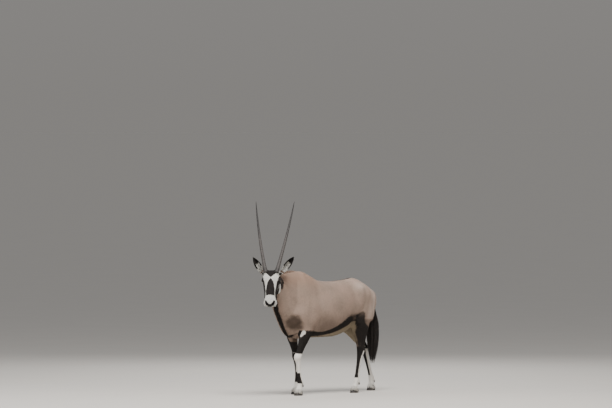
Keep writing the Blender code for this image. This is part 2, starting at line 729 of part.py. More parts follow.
def horn(side, name):
    # Rings ridge the lower half, the rest is smooth to a sharp tip.
    ridged = np.linspace(HORN_COLLAR, HORN_RINGED, 2 * HORN_RINGS + 1)
    smooth_part = np.linspace(HORN_RINGED, 1.0, 13)[1:]
    share = np.concatenate([[-HORN_SUNK, HORN_COLLAR * 0.6], ridged, smooth_part])
    flare, flare_reach = HORN_FLARE
    radius = (1 - flare) * np.clip(1 - share, 0.0, 1.0) ** HORN_TAPER + flare * np.exp(-share / flare_reach)
    radius = HORN_RADIUS * radius
    ridge = np.zeros(len(share))
    ridge[3:2 + len(ridged):2] = np.linspace(HORN_RIDGE, 0.25 * HORN_RIDGE, HORN_RINGS)
    radius = np.maximum(radius + ridge, 0.0012)
    radius[:2] = HORN_RADIUS
    path = horn_path(side, share)
    tangents = np.gradient(path, axis=0)
    rings = []
    for point, tangent, size in zip(path, tangents, radius):
        tangent = tangent / np.linalg.norm(tangent)
        across = np.cross(tangent, np.array((0.0, -1.0, 0.0)))
        across = across / np.linalg.norm(across)
        rings.append(oval(point, across, np.cross(across, tangent), size, size, size, 2.0, HORN_SIDES))
    return closed_mesh(name, rings)


def horn_pocket(side):
    path = horn_path(side, np.array((-HORN_SUNK, HORN_COLLAR * 0.6)))
    tangent = (path[1] - path[0]) / np.linalg.norm(path[1] - path[0])
    path[0] = path[0] - GAP * tangent
    path[1] = path[1] + 0.03 * tangent
    tangents = np.gradient(horn_path(side, np.array((-HORN_SUNK, HORN_COLLAR * 0.6, HORN_COLLAR))), axis=0)
    across = np.cross(tangents[0], np.array((0.0, -1.0, 0.0)))
    across = across / np.linalg.norm(across)
    rise = np.cross(across, tangents[0] / np.linalg.norm(tangents[0]))
    size = HORN_RADIUS + GAP / math.cos(math.pi / HORN_SIDES)
    return closed_mesh("cutter", [oval(p, across, rise, size, size, size, 2.0, HORN_SIDES) for p in path])


def eye(side, name, grow=0.0):
    centre = head_point((EYE_CENTRE[0], side * EYE_CENTRE[1], EYE_CENTRE[2]))
    return ellipsoid(name, centre, (EYE_RADIUS + grow,) * 3, segments=14)


def loop_mesh(name, rings):
    # A closed ring of outlines.
    rings = np.asarray(rings, float)
    count, sides = rings.shape[:2]
    faces = []
    for i in range(count):
        for j in range(sides):
            k = (j + 1) % sides
            n = (i + 1) % count
            faces.append((i * sides + j, i * sides + k, n * sides + k, n * sides + j))
    return mesh_object(name, rings.reshape(-1, 3), faces)


def lids(side):
    # A fleshy rim round the opening, longer along the face than across it.
    gaze = np.array((0.05, side * 0.93, 0.34))
    gaze = gaze / np.linalg.norm(gaze)
    long_way = np.array((1.0, 0.0, 0.0)) - gaze * gaze[0]
    long_way = long_way / np.linalg.norm(long_way)
    short_way = np.cross(gaze, long_way)
    rings = []
    for turn in np.linspace(0, 2 * math.pi, 16, endpoint=False):
        out = gaze + LID_OPENING[0] * math.cos(turn) * long_way + LID_OPENING[1] * math.sin(turn) * short_way
        out = out / np.linalg.norm(out)
        away = out - gaze * out.dot(gaze)
        away = away / np.linalg.norm(away)
        centre = np.array((EYE_CENTRE[0], side * EYE_CENTRE[1], EYE_CENTRE[2])) + out * EYE_RADIUS
        ring = oval(centre, away, gaze, LID_SIZE * 1.5, LID_SIZE, LID_SIZE, 2.0, 6)
        rings.append([head_point(p) for p in ring])
    return loop_mesh("lids", rings)


def nostril(side):
    rings = []
    for along, across, off, radius in spline(NOSTRIL, 8):
        rings.append(oval(head_point((along, side * across, off)), head_axes()[0], head_axes()[2],
                          radius, radius, radius, 2.0, 8))
    return closed_mesh("cutter", rings)


def mouth():
    # A thin horseshoe plate that cuts the line between the lips.
    points = []
    turns = np.linspace(-0.5 * math.pi, 0.5 * math.pi, 13)
    for off in (-1, 1):
        for reach_a, reach_w in ((MOUTH_OUTER[0], MOUTH_OUTER[1]), (MOUTH_INNER[0], MOUTH_INNER[1])):
            for turn in turns:
                along = MOUTH_START + reach_a * math.cos(turn)
                droop = MOUTH_HEIGHT + 0.10 * (along - MOUTH_START)
                height = droop + off * MOUTH_THICKNESS / 2
                points.append(head_point((along, reach_w * math.sin(turn), height)))
    count = len(turns)
    faces = []
    for i in range(count - 1):
        low_out, low_in, high_out, high_in = (i, count + i, 2 * count + i, 3 * count + i)
        faces += [(low_out, low_out + 1, low_in + 1, low_in), (high_out, high_in, high_in + 1, high_out + 1),
                  (low_out, high_out, high_out + 1, low_out + 1), (low_in, low_in + 1, high_in + 1, high_in)]
    for i in (0, count - 1):
        faces.append((i, count + i, 3 * count + i, 2 * count + i))
    return mesh_object("cutter", points, faces)


def ear(side):
    # A pointed cup: each section is a crescent that opens wide in the middle and closes at the root.
    axis = np.array(EAR_AXIS[side])
    axis = axis / np.linalg.norm(axis)
    opening = np.array(EAR_OPENING[side])
    opening = opening - axis * opening.dot(axis)
    opening = opening / np.linalg.norm(opening)
    across = np.cross(axis, opening)
    root = head_point((EAR_ROOT[0], side * EAR_ROOT[1], EAR_ROOT[2]))
    rings = []
    for share, size in EAR_PROFILE:
        width = EAR_HALF_WIDTH * size
        wrap = math.radians(150 - 75 * share)
        radius = width / math.sin(min(wrap, math.pi / 2))
        wall = min(EAR_WALL, radius * 0.45)
        angles = np.linspace(-wrap, wrap, 9)
        middle = root + axis * EAR_LENGTH * share + opening * (radius * math.cos(wrap) * 0.5)
        outer = [middle + radius * (math.sin(t) * across - math.cos(t) * opening) for t in angles]
        inner = [middle + (radius - wall) * (math.sin(t) * across - math.cos(t) * opening) for t in angles]
        rings.append(outer + inner[::-1])
    rings = np.array(rings)
    count, sides = rings.shape[:2]
    faces = []
    for i in range(count - 1):
        for j in range(sides):
            k = (j + 1) % sides
            faces.append((i * sides + j, i * sides + k, (i + 1) * sides + k, (i + 1) * sides + j))
    for ring in (0, count - 1):
        for j in range(sides // 2 - 1):
            faces.append((ring * sides + j, ring * sides + j + 1,
                          ring * sides + sides - 2 - j, ring * sides + sides - 1 - j))
    return mesh_object("ear", rings.reshape(-1, 3), faces)


def claw(name, foot, toe_side, yaw):
    # One half of a cloven hoof, flat underneath, its top sloping down to the heel.
    turn = np.array(Matrix.Rotation(math.radians(yaw), 3, "Z"))
    front = turn @ np.array((0.0, -1.0, 0.0))
    out = turn @ np.array((1.0, 0.0, 0.0)) * toe_side
    rings = []
    for height, reach, heel, outer, inner in HOOF:
        middle = np.array((foot[0], foot[1], height)) + out * (HOOF_CLEFT / 2 + inner)
        middle = middle + front * (reach - heel) / 2
        ring = oval(middle, front, out, (reach + heel) / 2, outer, inner, SQUARENESS["hoof"], 14)
        # The outer side curves in towards the toe.
        forward = np.clip((ring - middle) @ front / ((reach + heel) / 2), 0.0, 1.0)
        wide = (ring - middle) @ out + inner
        rings.append(ring - (HOOF_POINT[0] * forward ** HOOF_POINT[1] * wide)[:, None] * out)
    thing = closed_mesh(name, rings)
    slope = np.array((0.0, math.tan(math.radians(HOOF_SLOPE)), 1.0))
    slope = slope / np.linalg.norm(slope)
    axes = (np.array((1.0, 0, 0)), np.cross(slope, np.array((1.0, 0, 0))), slope)
    top = np.array((foot[0], foot[1], HOOF_HEIGHT)) + slope * 0.1
    return combine(thing, [box(top, axes, (0.1, 0.2, 0.1))], "DIFFERENCE")


def hoof_trim(foot):
    # What is taken off the leg below the hoof's sloping top.
    slope = np.array((0.0, math.tan(math.radians(HOOF_SLOPE)), 1.0))
    slope = slope / np.linalg.norm(slope)
    axes = (np.array((1.0, 0, 0)), np.cross(slope, np.array((1.0, 0, 0))), slope)
    middle = np.array((foot[0], foot[1], HOOF_HEIGHT)) - slope * (0.1 - GAP)
    return box(middle, axes, (0.085, 0.11, 0.1))


def dewclaw(name, leg, toe_side, grow=0.0):
    fetlock = np.array(LEGS[leg]["fetlock"])
    centre = fetlock + np.array((toe_side * DEWCLAW_PLACE[0], DEWCLAW_PLACE[1], DEWCLAW_PLACE[2]))
    axes = np.array(Matrix.Rotation(math.radians(DEWCLAW_TILT), 3, "X").transposed())
    return ellipsoid(name, centre, [r + grow for r in DEWCLAW_RADII], axes, segments=8)


def centre_on_floor(nodes):
    # The origin goes to the floor under the middle of the whole animal's box.
    points = np.concatenate([points_of(node) for node in nodes])
    middle = (points.min(axis=0) + points.max(axis=0)) / 2
    shift = Matrix.Translation((-middle[0], -middle[1], 0.0))
    for node in nodes:
        node.data.transform(shift)


def build():
    remove_everything()
    body = whole_body()
    combine(body, [ear(1), ear(-1), lids(1), lids(-1)] + mane_locks(), "UNION")
    cutters = [eye(1, "cutter", GAP), eye(-1, "cutter", GAP), horn_pocket(1), horn_pocket(-1),
               nostril(1), nostril(-1), mouth()]
    cutters += [dewclaw("cutter", leg, side, GAP) for leg in LEGS for side in (1, -1)]
    cutters += [hoof_trim(LEGS[leg]["coronet"]) for leg in LEGS]
    cutters.append(tail_dock("cutter", GAP))
    combine(body, cutters, "DIFFERENCE")
    nodes = []
    for side, word in ((1, "left"), (-1, "right")):
        nodes.append((horn(side, "horn_" + word), "horn", 0.45))
        nodes.append((eye(side, "eye_" + word), "eye", 0.08))
        axis = np.array(EAR_AXIS[side]) / np.linalg.norm(EAR_AXIS[side])
        opening = np.cross(axis, (0.0, 0.0, 1.0))
        opening = opening / np.linalg.norm(opening)
        root = head_point((EAR_ROOT[0], side * EAR_ROOT[1], EAR_ROOT[2]))
        centre = root + axis * (EAR_CUT + 0.12)
        region = box_region(centre, (opening, np.cross(axis, opening), axis), (0.08, 0.08, 0.12))
        nodes.append((split_off(body, "ear_" + word, region), "fawn", 0.8))
    for leg in LEGS:
        nodes.append((split_off(body, leg, leg_region(leg)), "black", 0.75))
        for side in (1, -1):
            place = "outer" if side * LEGS[leg]["coronet"][0] > 0 else "inner"
            nodes.append((claw("hoof_" + leg + "_" + place, LEGS[leg]["coronet"], side, 0.0), "hoof", 0.4))
            nodes.append((dewclaw("dewclaw_" + leg + "_" + place, leg, side), "hoof", 0.45))
    for name, centre, turn, half_sizes, colour in BODY_CUTS:
        turned = np.array(Matrix.Rotation(math.radians(turn), 3, "X").transposed())
        nodes.append((split_off(body, name, box_region(centre, turned, half_sizes)), colour, 0.8))
    nodes.append((tail(), "black", 0.7))
    body.name = "torso"
    nodes.append((keep_largest(body), "fawn", 0.8))
    for node, colour, roughness in nodes:
        node.data.materials.clear()
        node.data.materials.append(material(node.name, COLOURS[colour], roughness))
        node.data.shade_smooth()
        node.data.set_sharp_from_angle(angle=math.radians(50))
    centre_on_floor([node for node, _, _ in nodes])


if __name__ == "__main__":
    build()
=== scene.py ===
import json
import math
import time

import bmesh
import bpy
import numpy as np
from mathutils import Matrix, Vector

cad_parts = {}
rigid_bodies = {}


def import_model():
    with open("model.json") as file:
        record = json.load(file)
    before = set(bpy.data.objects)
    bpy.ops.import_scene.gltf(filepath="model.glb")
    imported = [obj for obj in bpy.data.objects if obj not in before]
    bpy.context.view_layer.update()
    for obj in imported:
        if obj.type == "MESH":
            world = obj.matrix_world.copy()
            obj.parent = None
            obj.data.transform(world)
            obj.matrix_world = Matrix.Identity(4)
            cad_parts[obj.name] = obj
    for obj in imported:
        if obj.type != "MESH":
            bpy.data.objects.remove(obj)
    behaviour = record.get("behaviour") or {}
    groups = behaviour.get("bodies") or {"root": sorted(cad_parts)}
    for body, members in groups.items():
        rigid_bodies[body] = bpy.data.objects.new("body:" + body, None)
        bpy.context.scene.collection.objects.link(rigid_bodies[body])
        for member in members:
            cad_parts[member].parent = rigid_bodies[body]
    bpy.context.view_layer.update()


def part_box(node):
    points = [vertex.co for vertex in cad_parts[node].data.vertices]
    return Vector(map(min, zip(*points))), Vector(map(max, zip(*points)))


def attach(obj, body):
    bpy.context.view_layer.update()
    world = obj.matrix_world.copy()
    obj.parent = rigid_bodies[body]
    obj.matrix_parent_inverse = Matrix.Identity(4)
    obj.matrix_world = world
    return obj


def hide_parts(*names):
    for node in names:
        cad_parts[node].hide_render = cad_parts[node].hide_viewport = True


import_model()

# The looks of a standing gemsbok. Places are in metres in the animal's own frame, nose towards -Y
# and its left towards +X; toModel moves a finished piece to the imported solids.
startTime = time.time()

look = {
    "headOrigin": (0.13, -1.007, 1.215),
    "headYaw": 39.0,
    "headPitch": 60.0,
    # how far the skin lies inside for the hair, and the height above which it does
    "coatDepth": 0.0022,
    "coatFull": 0.12,
    "seed": 7,
}


def report(stage):
    print(f"{stage}: {time.time() - startTime:.1f} s")


def headAxes():
    # Down the face, to the animal's left and off the face, from the yaw and the pitch.
    yaw = math.radians(look["headYaw"])
    pitch = math.radians(look["headPitch"])
    level = np.array((math.sin(yaw), -math.cos(yaw), 0.0))
    downFace = level * math.cos(pitch) - np.array((0, 0, math.sin(pitch)))
    offFace = level * math.sin(pitch) + np.array((0, 0, math.cos(pitch)))
    left = np.array((math.cos(yaw), math.sin(yaw), 0.0))
    return np.array((downFace, left, offFace))


def headPoint(places):
    # Origin plus each coordinate times its axis.
    return np.array(look["headOrigin"]) + np.asarray(places, float) @ headAxes()


def inHead(points):
    # The inverse of headPoint: the offset from the origin along each axis of the head.
    return (points - np.array(look["headOrigin"])) @ headAxes().T


def unit(vectors):
    # v / |v|
    return vectors / np.maximum(np.linalg.norm(vectors, axis=-1, keepdims=True), 1e-12)


def smoothStep(low, high, values):
    # 3 t^2 - 2 t^3 of the clipped share t of the way from low to high; low may be the larger one.
    t = np.clip((values - low) / (high - low), 0.0, 1.0)
    return t * t * (3 - 2 * t)


def curveThrough(rows, count):
    # Hermite curve through the rows by chord length: h00 p0 + h10 m0 + h01 p1 + h11 m1.
    rows = np.asarray(rows, float)
    steps = np.linalg.norm(np.diff(rows[:, :3], axis=0), axis=1)
    knots = np.concatenate([[0.0], np.cumsum(steps)])
    slopes = np.gradient(rows, knots, axis=0)
    places = np.linspace(0.0, knots[-1], count)
    index = np.clip(np.searchsorted(knots, places, side="right") - 1, 0, len(rows) - 2)
    width = (knots[index + 1] - knots[index])[:, None]
    t = (places - knots[index])[:, None] / width
    near = 2 * t ** 3 - 3 * t ** 2 + 1
    return (near * rows[index] + (t ** 3 - 2 * t ** 2 + t) * width * slopes[index]
            + (1 - near) * rows[index + 1] + (t ** 3 - t ** 2) * width * slopes[index + 1])


def ovalRings(centre, side, rise, halfWidth, above, below, power, sides):
    # Each ring is centre + a cos^(2/p) side + b sin^(2/p) rise, with its own b above and below.
    angle = np.arange(sides) * 2 * math.pi / sides
    across = np.sign(np.cos(angle)) * np.abs(np.cos(angle)) ** (2 / power)
    height = np.sign(np.sin(angle)) * np.abs(np.sin(angle)) ** (2 / power)
    count = len(centre)
    side = np.broadcast_to(side, (count, 3))
    rise = np.broadcast_to(rise, (count, 3))
    wide = np.broadcast_to(halfWidth, count)[:, None] * across
    tall = np.where(height > 0, np.broadcast_to(above, count)[:, None],
                    np.broadcast_to(below, count)[:, None]) * height
    return centre[:, None, :] + wide[..., None] * side[:, None, :] + tall[..., None] * rise[:, None, :]


def outward(points, faces):
    # The signed volume, a sum of a . (b x c) / 6, is positive when faces point out.
    a, b, c = points[faces[:, 0]], points[faces[:, 1]], points[faces[:, 2]]
    if np.einsum("ij,ij->", a, np.cross(b, c)) < 0:
        faces = faces[:, ::-1]
    return points, np.ascontiguousarray(faces)


def bandFaces(count, sides, closed=False):
    # Two triangles for each cell between ring i and ring i + 1, corner j and corner j + 1.
    i = np.arange(count if closed else count - 1)[:, None]
    j = np.arange(sides)[None, :]
    n = (i + 1) % count
    k = (j + 1) % sides
    a, b, c, d = i * sides + j, i * sides + k, n * sides + k, n * sides + j
    return np.concatenate([np.stack([a, b, c], -1).reshape(-1, 3), np.stack([a, c, d], -1).reshape(-1, 3)])


def tube(rings):
    # A band of rings whose ends close on a fan round their middles, the last two points.
    count, sides = rings.shape[:2]
    points = np.concatenate([rings.reshape(-1, 3), [rings[0].mean(axis=0)], [rings[-1].mean(axis=0)]])
    j = np.arange(sides)
    k = (j + 1) % sides
    end = (count - 1) * sides
    first = np.stack([k, j, np.full(sides, count * sides)], -1)
    last = np.stack([end + j, end + k, np.full(sides, count * sides + 1)], -1)
    return outward(points, np.concatenate([bandFaces(count, sides), first, last]))


def joined(shapes):
    # One list of points and faces, each shape's faces moved on by the points before it.
    points = np.concatenate([shape[0] for shape in shapes])
    offsets = np.cumsum([0] + [len(shape[0]) for shape in shapes[:-1]])
    return points, np.concatenate([shape[1] + offset for shape, offset in zip(shapes, offsets)])


def makeObject(name, points, faces, uv=None, fields=None):
    # A smooth mesh object with its corners' places on the map and its points' fields.
    mesh = bpy.data.meshes.new(name)
    mesh.vertices.add(len(points))
    mesh.vertices.foreach_set("co", np.asarray(points, np.float32).ravel())
    mesh.loops.add(faces.size)
    mesh.loops.foreach_set("vertex_index", np.asarray(faces, np.int32).ravel())
    mesh.polygons.add(len(faces))
    mesh.polygons.foreach_set("loop_start", np.arange(0, faces.size, faces.shape[1], dtype=np.int32))
    mesh.update(calc_edges=True)
    mesh.shade_smooth()
    if uv is not None:
        layer = mesh.uv_layers.new(name="OFBake")
        layer.data.foreach_set("uv", np.asarray(uv, np.float32).ravel())
    for key, values in (fields or {}).items():
        attribute = mesh.attributes.new(key, "FLOAT", "POINT")
        attribute.data.foreach_set("value", np.asarray(values, np.float32))
    thing = bpy.data.objects.new(name, mesh)
    bpy.context.scene.collection.objects.link(thing)
    return thing


def readObject(thing):
    # Points, triangles and edges of the object's mesh as its modifiers leave it.
    graph = bpy.context.evaluated_depsgraph_get()
    mesh = thing.evaluated_get(graph).to_mesh()
    points = np.empty(len(mesh.vertices) * 3, np.float32)
    mesh.vertices.foreach_get("co", points)
    mesh.calc_loop_triangles()
    faces = np.empty(len(mesh.loop_triangles) * 3, np.int32)
    mesh.loop_triangles.foreach_get("vertices", faces)
    edges = np.empty(len(mesh.edges) * 2, np.int32)
    mesh.edges.foreach_get("vertices", edges)
    thing.evaluated_get(graph).to_mesh_clear()
    return points.reshape(-1, 3).astype(float), faces.reshape(-1, 3).astype(np.int64), edges.reshape(-1, 2)


def removeObject(thing):
    # The object goes, and its mesh with it.
    mesh = thing.data
    bpy.data.objects.remove(thing, do_unlink=True)
    bpy.data.meshes.remove(mesh)


def relaxed(points, edges, rounds, strength):
    # Each point moves towards the mean of its neighbours by its own strength.
    start = np.concatenate([edges[:, 0], edges[:, 1]])
    end = np.concatenate([edges[:, 1], edges[:, 0]])
    count = len(points)
    degree = np.maximum(np.bincount(start, minlength=count), 1)[:, None]
    strength = np.broadcast_to(strength, count)[:, None]
    for _ in range(rounds):
        mean = np.stack([np.bincount(start, points[end, axis], count) for axis in range(3)], axis=1) / degree
        points = points + strength * (mean - points)
    return points


def pointNormals(points, faces):
    # The area-weighted mean of the normals round each point.
    a, b, c = points[faces[:, 0]], points[faces[:, 1]], points[faces[:, 2]]
    normal = np.cross(b - a, c - a)
    corners = faces.ravel()
    spread = np.repeat(normal, 3, axis=0)
    return unit(np.stack([np.bincount(corners, spread[:, axis], len(points)) for axis in range(3)], axis=1))


def distanceToSegment(points, start, end):
    # |p - (s + t (e - s))| with t clipped to 0..1; also returns t.
    line = end - start
    t = np.clip((points - start) @ line / max(line @ line, 1e-12), 0.0, 1.0)
    return np.linalg.norm(points - start - t[:, None] * line, axis=1), t


def strip(points, path, radii):
    # How far inside a bent capsule each point is: radius along the path minus distance to it.
    path = np.asarray(path, float)
    radii = np.broadcast_to(radii, len(path))
    best = np.full(len(points), -1.0)
    for i in range(len(path) - 1):
        distance, t = distanceToSegment(points, path[i], path[i + 1])
        best = np.maximum(best, radii[i] + t * (radii[i + 1] - radii[i]) - distance)
    return best


# The flesh: stations of the trunk, neck and head and the girths of the limbs.
flesh = {
    "voxel": 0.006,
    "triangles": 105000,
    "trunkPower": 2.15,
    "headPower": 2.25,
    "limbPower": 2.1,
    # share of the way from the throat to the crest at which the neck is widest
    "neckMiddle": 0.47,
    "blendLeast": 0.1,
    # y, top, bottom, half width, height of the widest place
    "trunk": (
        (-0.665, 0.9, 0.64, 0.05, 0.76), (-0.635, 1.01, 0.585, 0.105, 0.79),
        (-0.57, 1.15, 0.555, 0.145, 0.83), (-0.49, 1.204, 0.545, 0.172, 0.85),
        (-0.385, 1.172, 0.55, 0.19, 0.84), (-0.275, 1.122, 0.554, 0.208, 0.825),
        (-0.14, 1.1, 0.553, 0.224, 0.81), (0.0, 1.096, 0.56, 0.228, 0.815), (0.1, 1.103, 0.59, 0.221, 0.83),
        (0.19, 1.114, 0.645, 0.209, 0.85), (0.275, 1.124, 0.69, 0.197, 0.875),
        (0.37, 1.086, 0.715, 0.183, 0.9), (0.455, 1.042, 0.735, 0.158, 0.9),
        (0.52, 0.998, 0.76, 0.12, 0.895), (0.56, 0.96, 0.81, 0.065, 0.88),
    ),
    # crest y and height, throat y and height, x, half width
    "neck": (
        (-0.43, 1.192, -0.5, 0.59, 0.0, 0.15), (-0.53, 1.206, -0.61, 0.562, 0.0, 0.145),
        (-0.61, 1.204, -0.675, 0.595, 0.004, 0.126), (-0.7, 1.198, -0.735, 0.665, 0.014, 0.106),
        (-0.785, 1.194, -0.8, 0.745, 0.032, 0.092), (-0.86, 1.19, -0.858, 0.83, 0.052, 0.084),
        (-0.925, 1.188, -0.905, 0.915, 0.074, 0.077), (-0.965, 1.18, -0.945, 0.985, 0.094, 0.062),
    ),
    # down the face, top, bottom, half width, height of the widest place
    "head": (
        (-0.06, -0.088, -0.135, 0.03, -0.108), (-0.04, -0.048, -0.162, 0.054, -0.092),
        (-0.012, -0.014, -0.182, 0.068, -0.074), (0.02, 0.002, -0.192, 0.077, -0.062),
        (0.054, 0.008, -0.196, 0.081, -0.056), (0.089, 0.007, -0.192, 0.08, -0.056),
        (0.132, 0.002, -0.176, 0.073, -0.062), (0.175, -0.002, -0.154, 0.067, -0.066),
        (0.218, -0.004, -0.132, 0.062, -0.068), (0.263, -0.006, -0.116, 0.061, -0.07),
        (0.298, -0.011, -0.106, 0.064, -0.07), (0.328, -0.022, -0.097, 0.061, -0.068),
        (0.348, -0.038, -0.086, 0.047, -0.066),
    ),
    # joint, share of the way to the next one, half width, depth in front, depth behind
    "foreLimb": (
        ("blade", 0.0, 0.03, 0.05, 0.06), ("blade", 0.38, 0.05, 0.085, 0.095),
        ("blade", 0.74, 0.06, 0.1, 0.12), ("shoulder", 0.0, 0.062, 0.1, 0.125),
        ("shoulder", 0.6, 0.058, 0.08, 0.108), ("elbow", 0.0, 0.054, 0.068, 0.084),
        ("elbow", 0.3, 0.047, 0.057, 0.062), ("elbow", 0.62, 0.036, 0.042, 0.043),
        ("elbow", 0.86, 0.032, 0.035, 0.035), ("knee", 0.0, 0.038, 0.042, 0.036),
        ("knee", 0.15, 0.029, 0.031, 0.031), ("knee", 0.45, 0.022, 0.022, 0.027),
        ("knee", 0.8, 0.0225, 0.023, 0.028), ("fetlock", 0.0, 0.029, 0.029, 0.032),
        ("fetlock", 0.5, 0.027, 0.027, 0.026), ("coronet", 0.0, 0.0325, 0.037, 0.034),
    ),
    "hindLimb": (
        ("hip", 0.0, 0.055, 0.1, 0.12), ("hip", 0.4, 0.074, 0.15, 0.165), ("hip", 0.75, 0.078, 0.155, 0.17),
        ("stifle", 0.0, 0.072, 0.135, 0.145), ("stifle", 0.32, 0.058, 0.098, 0.105),
        ("stifle", 0.62, 0.043, 0.068, 0.072), ("stifle", 0.86, 0.034, 0.048, 0.056),
        ("hock", 0.0, 0.034, 0.042, 0.052), ("hock", 0.22, 0.026, 0.032, 0.034),
        ("hock", 0.55, 0.022, 0.025, 0.028), ("hock", 0.84, 0.023, 0.025, 0.028),
        ("fetlock", 0.0, 0.029, 0.03, 0.032), ("fetlock", 0.5, 0.027, 0.028, 0.026),
        ("coronet", 0.0, 0.0325, 0.038, 0.034),
    ),
    # the last outline, inside the hoof: step forwards, height, half width, depth in front and behind
    "limbEnd": (0.008, 0.012, 0.033, 0.041, 0.037),
    "legs": {
        "foreleg_left": {
            "blade": (0.08, -0.43, 1.09), "shoulder": (0.118, -0.525, 0.775),
            "elbow": (0.128, -0.5, 0.64), "knee": (0.102, -0.598, 0.37),
            "fetlock": (0.108, -0.574, 0.122), "coronet": (0.11, -0.592, 0.046),
        },
        "foreleg_right": {
            "blade": (-0.08, -0.4, 1.09), "shoulder": (-0.118, -0.5, 0.775),
            "elbow": (-0.128, -0.455, 0.64), "knee": (-0.104, -0.404, 0.37),
            "fetlock": (-0.102, -0.386, 0.122), "coronet": (-0.102, -0.408, 0.046),
        },
        "hindleg_left": {
            "hip": (0.085, 0.37, 0.995), "stifle": (0.138, 0.255, 0.72),
            "hock": (0.12, 0.282, 0.415), "fetlock": (0.117, 0.223, 0.118),
            "coronet": (0.117, 0.2, 0.046),
        },
        "hindleg_right": {
            "hip": (-0.085, 0.37, 0.995), "stifle": (-0.135, 0.35, 0.72),
            "hock": (-0.107, 0.582, 0.42), "fetlock": (-0.11, 0.69, 0.118),
            "coronet": (-0.11, 0.692, 0.046),
        },
    },
    # centre, radii, turn about X in degrees
    "lumps": (
        ((0.098, -0.555, 0.77), (0.072, 0.08, 0.11), 12.0),
        ((-0.098, -0.535, 0.77), (0.072, 0.08, 0.11), 12.0),
        ((0.112, -0.415, 0.75), (0.078, 0.105, 0.1), -20.0),
        ((-0.112, -0.39, 0.75), (0.078, 0.105, 0.1), -20.0),
    ),
    # centre and radii in the head's frame, on both sides
    "headLumps": (
        ((0.066, 0.06, -0.036), (0.042, 0.026, 0.028)), ((0.076, 0.045, -0.13), (0.07, 0.026, 0.055)),
        ((-0.04, 0.062, -0.118), (0.03, 0.036, 0.026)), ((0.302, 0.032, -0.044), (0.034, 0.028, 0.024)),
        ((-0.006, 0.05, -0.028), (0.034, 0.032, 0.026)),
    ),
    "dock": (
        (0.52, 0.978, 0.03), (0.56, 0.955, 0.028), (0.588, 0.902, 0.025), (0.594, 0.82, 0.022),
        (0.592, 0.7, 0.018), (0.59, 0.6, 0.009),
    ),
    # centre, reach, strength of the smoothing that runs the limbs into the trunk
    "blends": (
        ((0.0, -0.6, 0.82), 0.38, 0.9), ((0.16, -0.45, 0.75), 0.26, 0.9), ((-0.16, -0.42, 0.75), 0.26, 0.9),
        ((0.14, 0.33, 0.86), 0.32, 0.9), ((-0.14, 0.33, 0.86), 0.32, 0.9), ((0.0, 0.5, 0.95), 0.2, 0.8),
        ((0.05, -0.9, 1.1), 0.1, 0.8),
    ),
}


def trunkShape():
    # Upright ovals along the trunk, widest at their own middle height.
    y, top, bottom, halfWidth, middle = curveThrough(flesh["trunk"], 80).T
    centre = np.stack([0 * y, y, middle], axis=1)
    return tube(ovalRings(centre, (1.0, 0, 0), (0, 0, 1.0), halfWidth, top - middle, middle - bottom,
                          flesh["trunkPower"], 60))


def neckShape():
    # Ovals that lean from the throat line to the crest line, widest below their half.
    crestY, crestZ, throatY, throatZ, x, halfWidth = curveThrough(flesh["neck"], 60).T
    crest = np.stack([x, crestY, crestZ], axis=1)
    throat = np.stack([x, throatY, throatZ], axis=1)
    middle = throat + (crest - throat) * flesh["neckMiddle"]
    above, below = np.linalg.norm(crest - middle, axis=1), np.linalg.norm(middle - throat, axis=1)
    return tube(ovalRings(middle, (1.0, 0, 0), unit(crest - throat), halfWidth, above, below, 2.0, 48))


def headShape():
    # Ovals down the face, across it and off it.
    along, top, bottom, halfWidth, middle = curveThrough(flesh["head"], 80).T
    _, left, off = headAxes()
    centre = headPoint(np.stack([along, 0 * along, middle], axis=1))
    return tube(ovalRings(centre, left, off, halfWidth, top - middle, middle - bottom,
                          flesh["headPower"], 48))


def limbRows(name):
    # joint + share (next joint - joint) with the girths there, run through by a curve.
    joints = flesh["legs"][name]
    names = list(joints)
    rows = []
    stations = flesh["foreLimb" if name.startswith("fore") else "hindLimb"]
    for joint, share, halfWidth, front, behind in stations:
        start = np.array(joints[joint])
        end = np.array(joints[names[min(names.index(joint) + 1, len(names) - 1)]])
        rows.append((*(start + share * (end - start)), halfWidth, front, behind))
    forward, *last = flesh["limbEnd"]
    rows.append((rows[-1][0], rows[-1][1] - forward, *last))
    return curveThrough(rows, 120)


def limbShape(name):
    # Ovals square to the limb's line, their front being forwards less its part along the line.
    rows = limbRows(name)
    forward = np.array((0.0, -1.0, 0.0))
    tangent = unit(np.gradient(rows[:, :3], axis=0))
    front = unit(forward - tangent * (tangent @ forward)[:, None])
    side = np.cross(tangent, front)
    return tube(ovalRings(rows[:, :3], side, front, *rows[:, 3:6].T, flesh["limbPower"], 32))


def ball(centre, radii, axes=np.eye(3), rows=18, sides=28):
    # Rings of radius sin(latitude) at height cos(latitude), stretched to the radii.
    latitude = np.linspace(0.06, math.pi - 0.06, rows)
    centres = np.stack([0 * latitude, 0 * latitude, np.cos(latitude)], axis=1)
    size = np.sin(latitude)
    points, faces = tube(ovalRings(centres, (1.0, 0, 0), (0, 1.0, 0), size, size, size, 2.0, sides))
    points[-2:] = (0, 0, 1), (0, 0, -1)
    return outward(points * np.array(radii) @ np.asarray(axes, float) + np.asarray(centre), faces)


def lumpShapes():
    # Balls in the body's frame, turned about X, and pairs of them in the head's frame.
    made = []
    for centre, radii, turn in flesh["lumps"]:
        made.append(ball(centre, radii, Matrix.Rotation(math.radians(turn), 3, "X").transposed()))
    for (along, across, off), radii in flesh["headLumps"]:
        made += [ball(headPoint((along, side * across, off)), radii, headAxes()) for side in (1, -1)]
    return made


def dockShape():
    # Round sections down the tail, which lean with its line.
    y, z, radius = curveThrough(flesh["dock"], 40).T
    centre = np.stack([0 * y, y, z], axis=1)
    return tube(ovalRings(centre, (1.0, 0, 0), (0, 0.97, 0.25), radius, radius, radius, 2.0, 20))


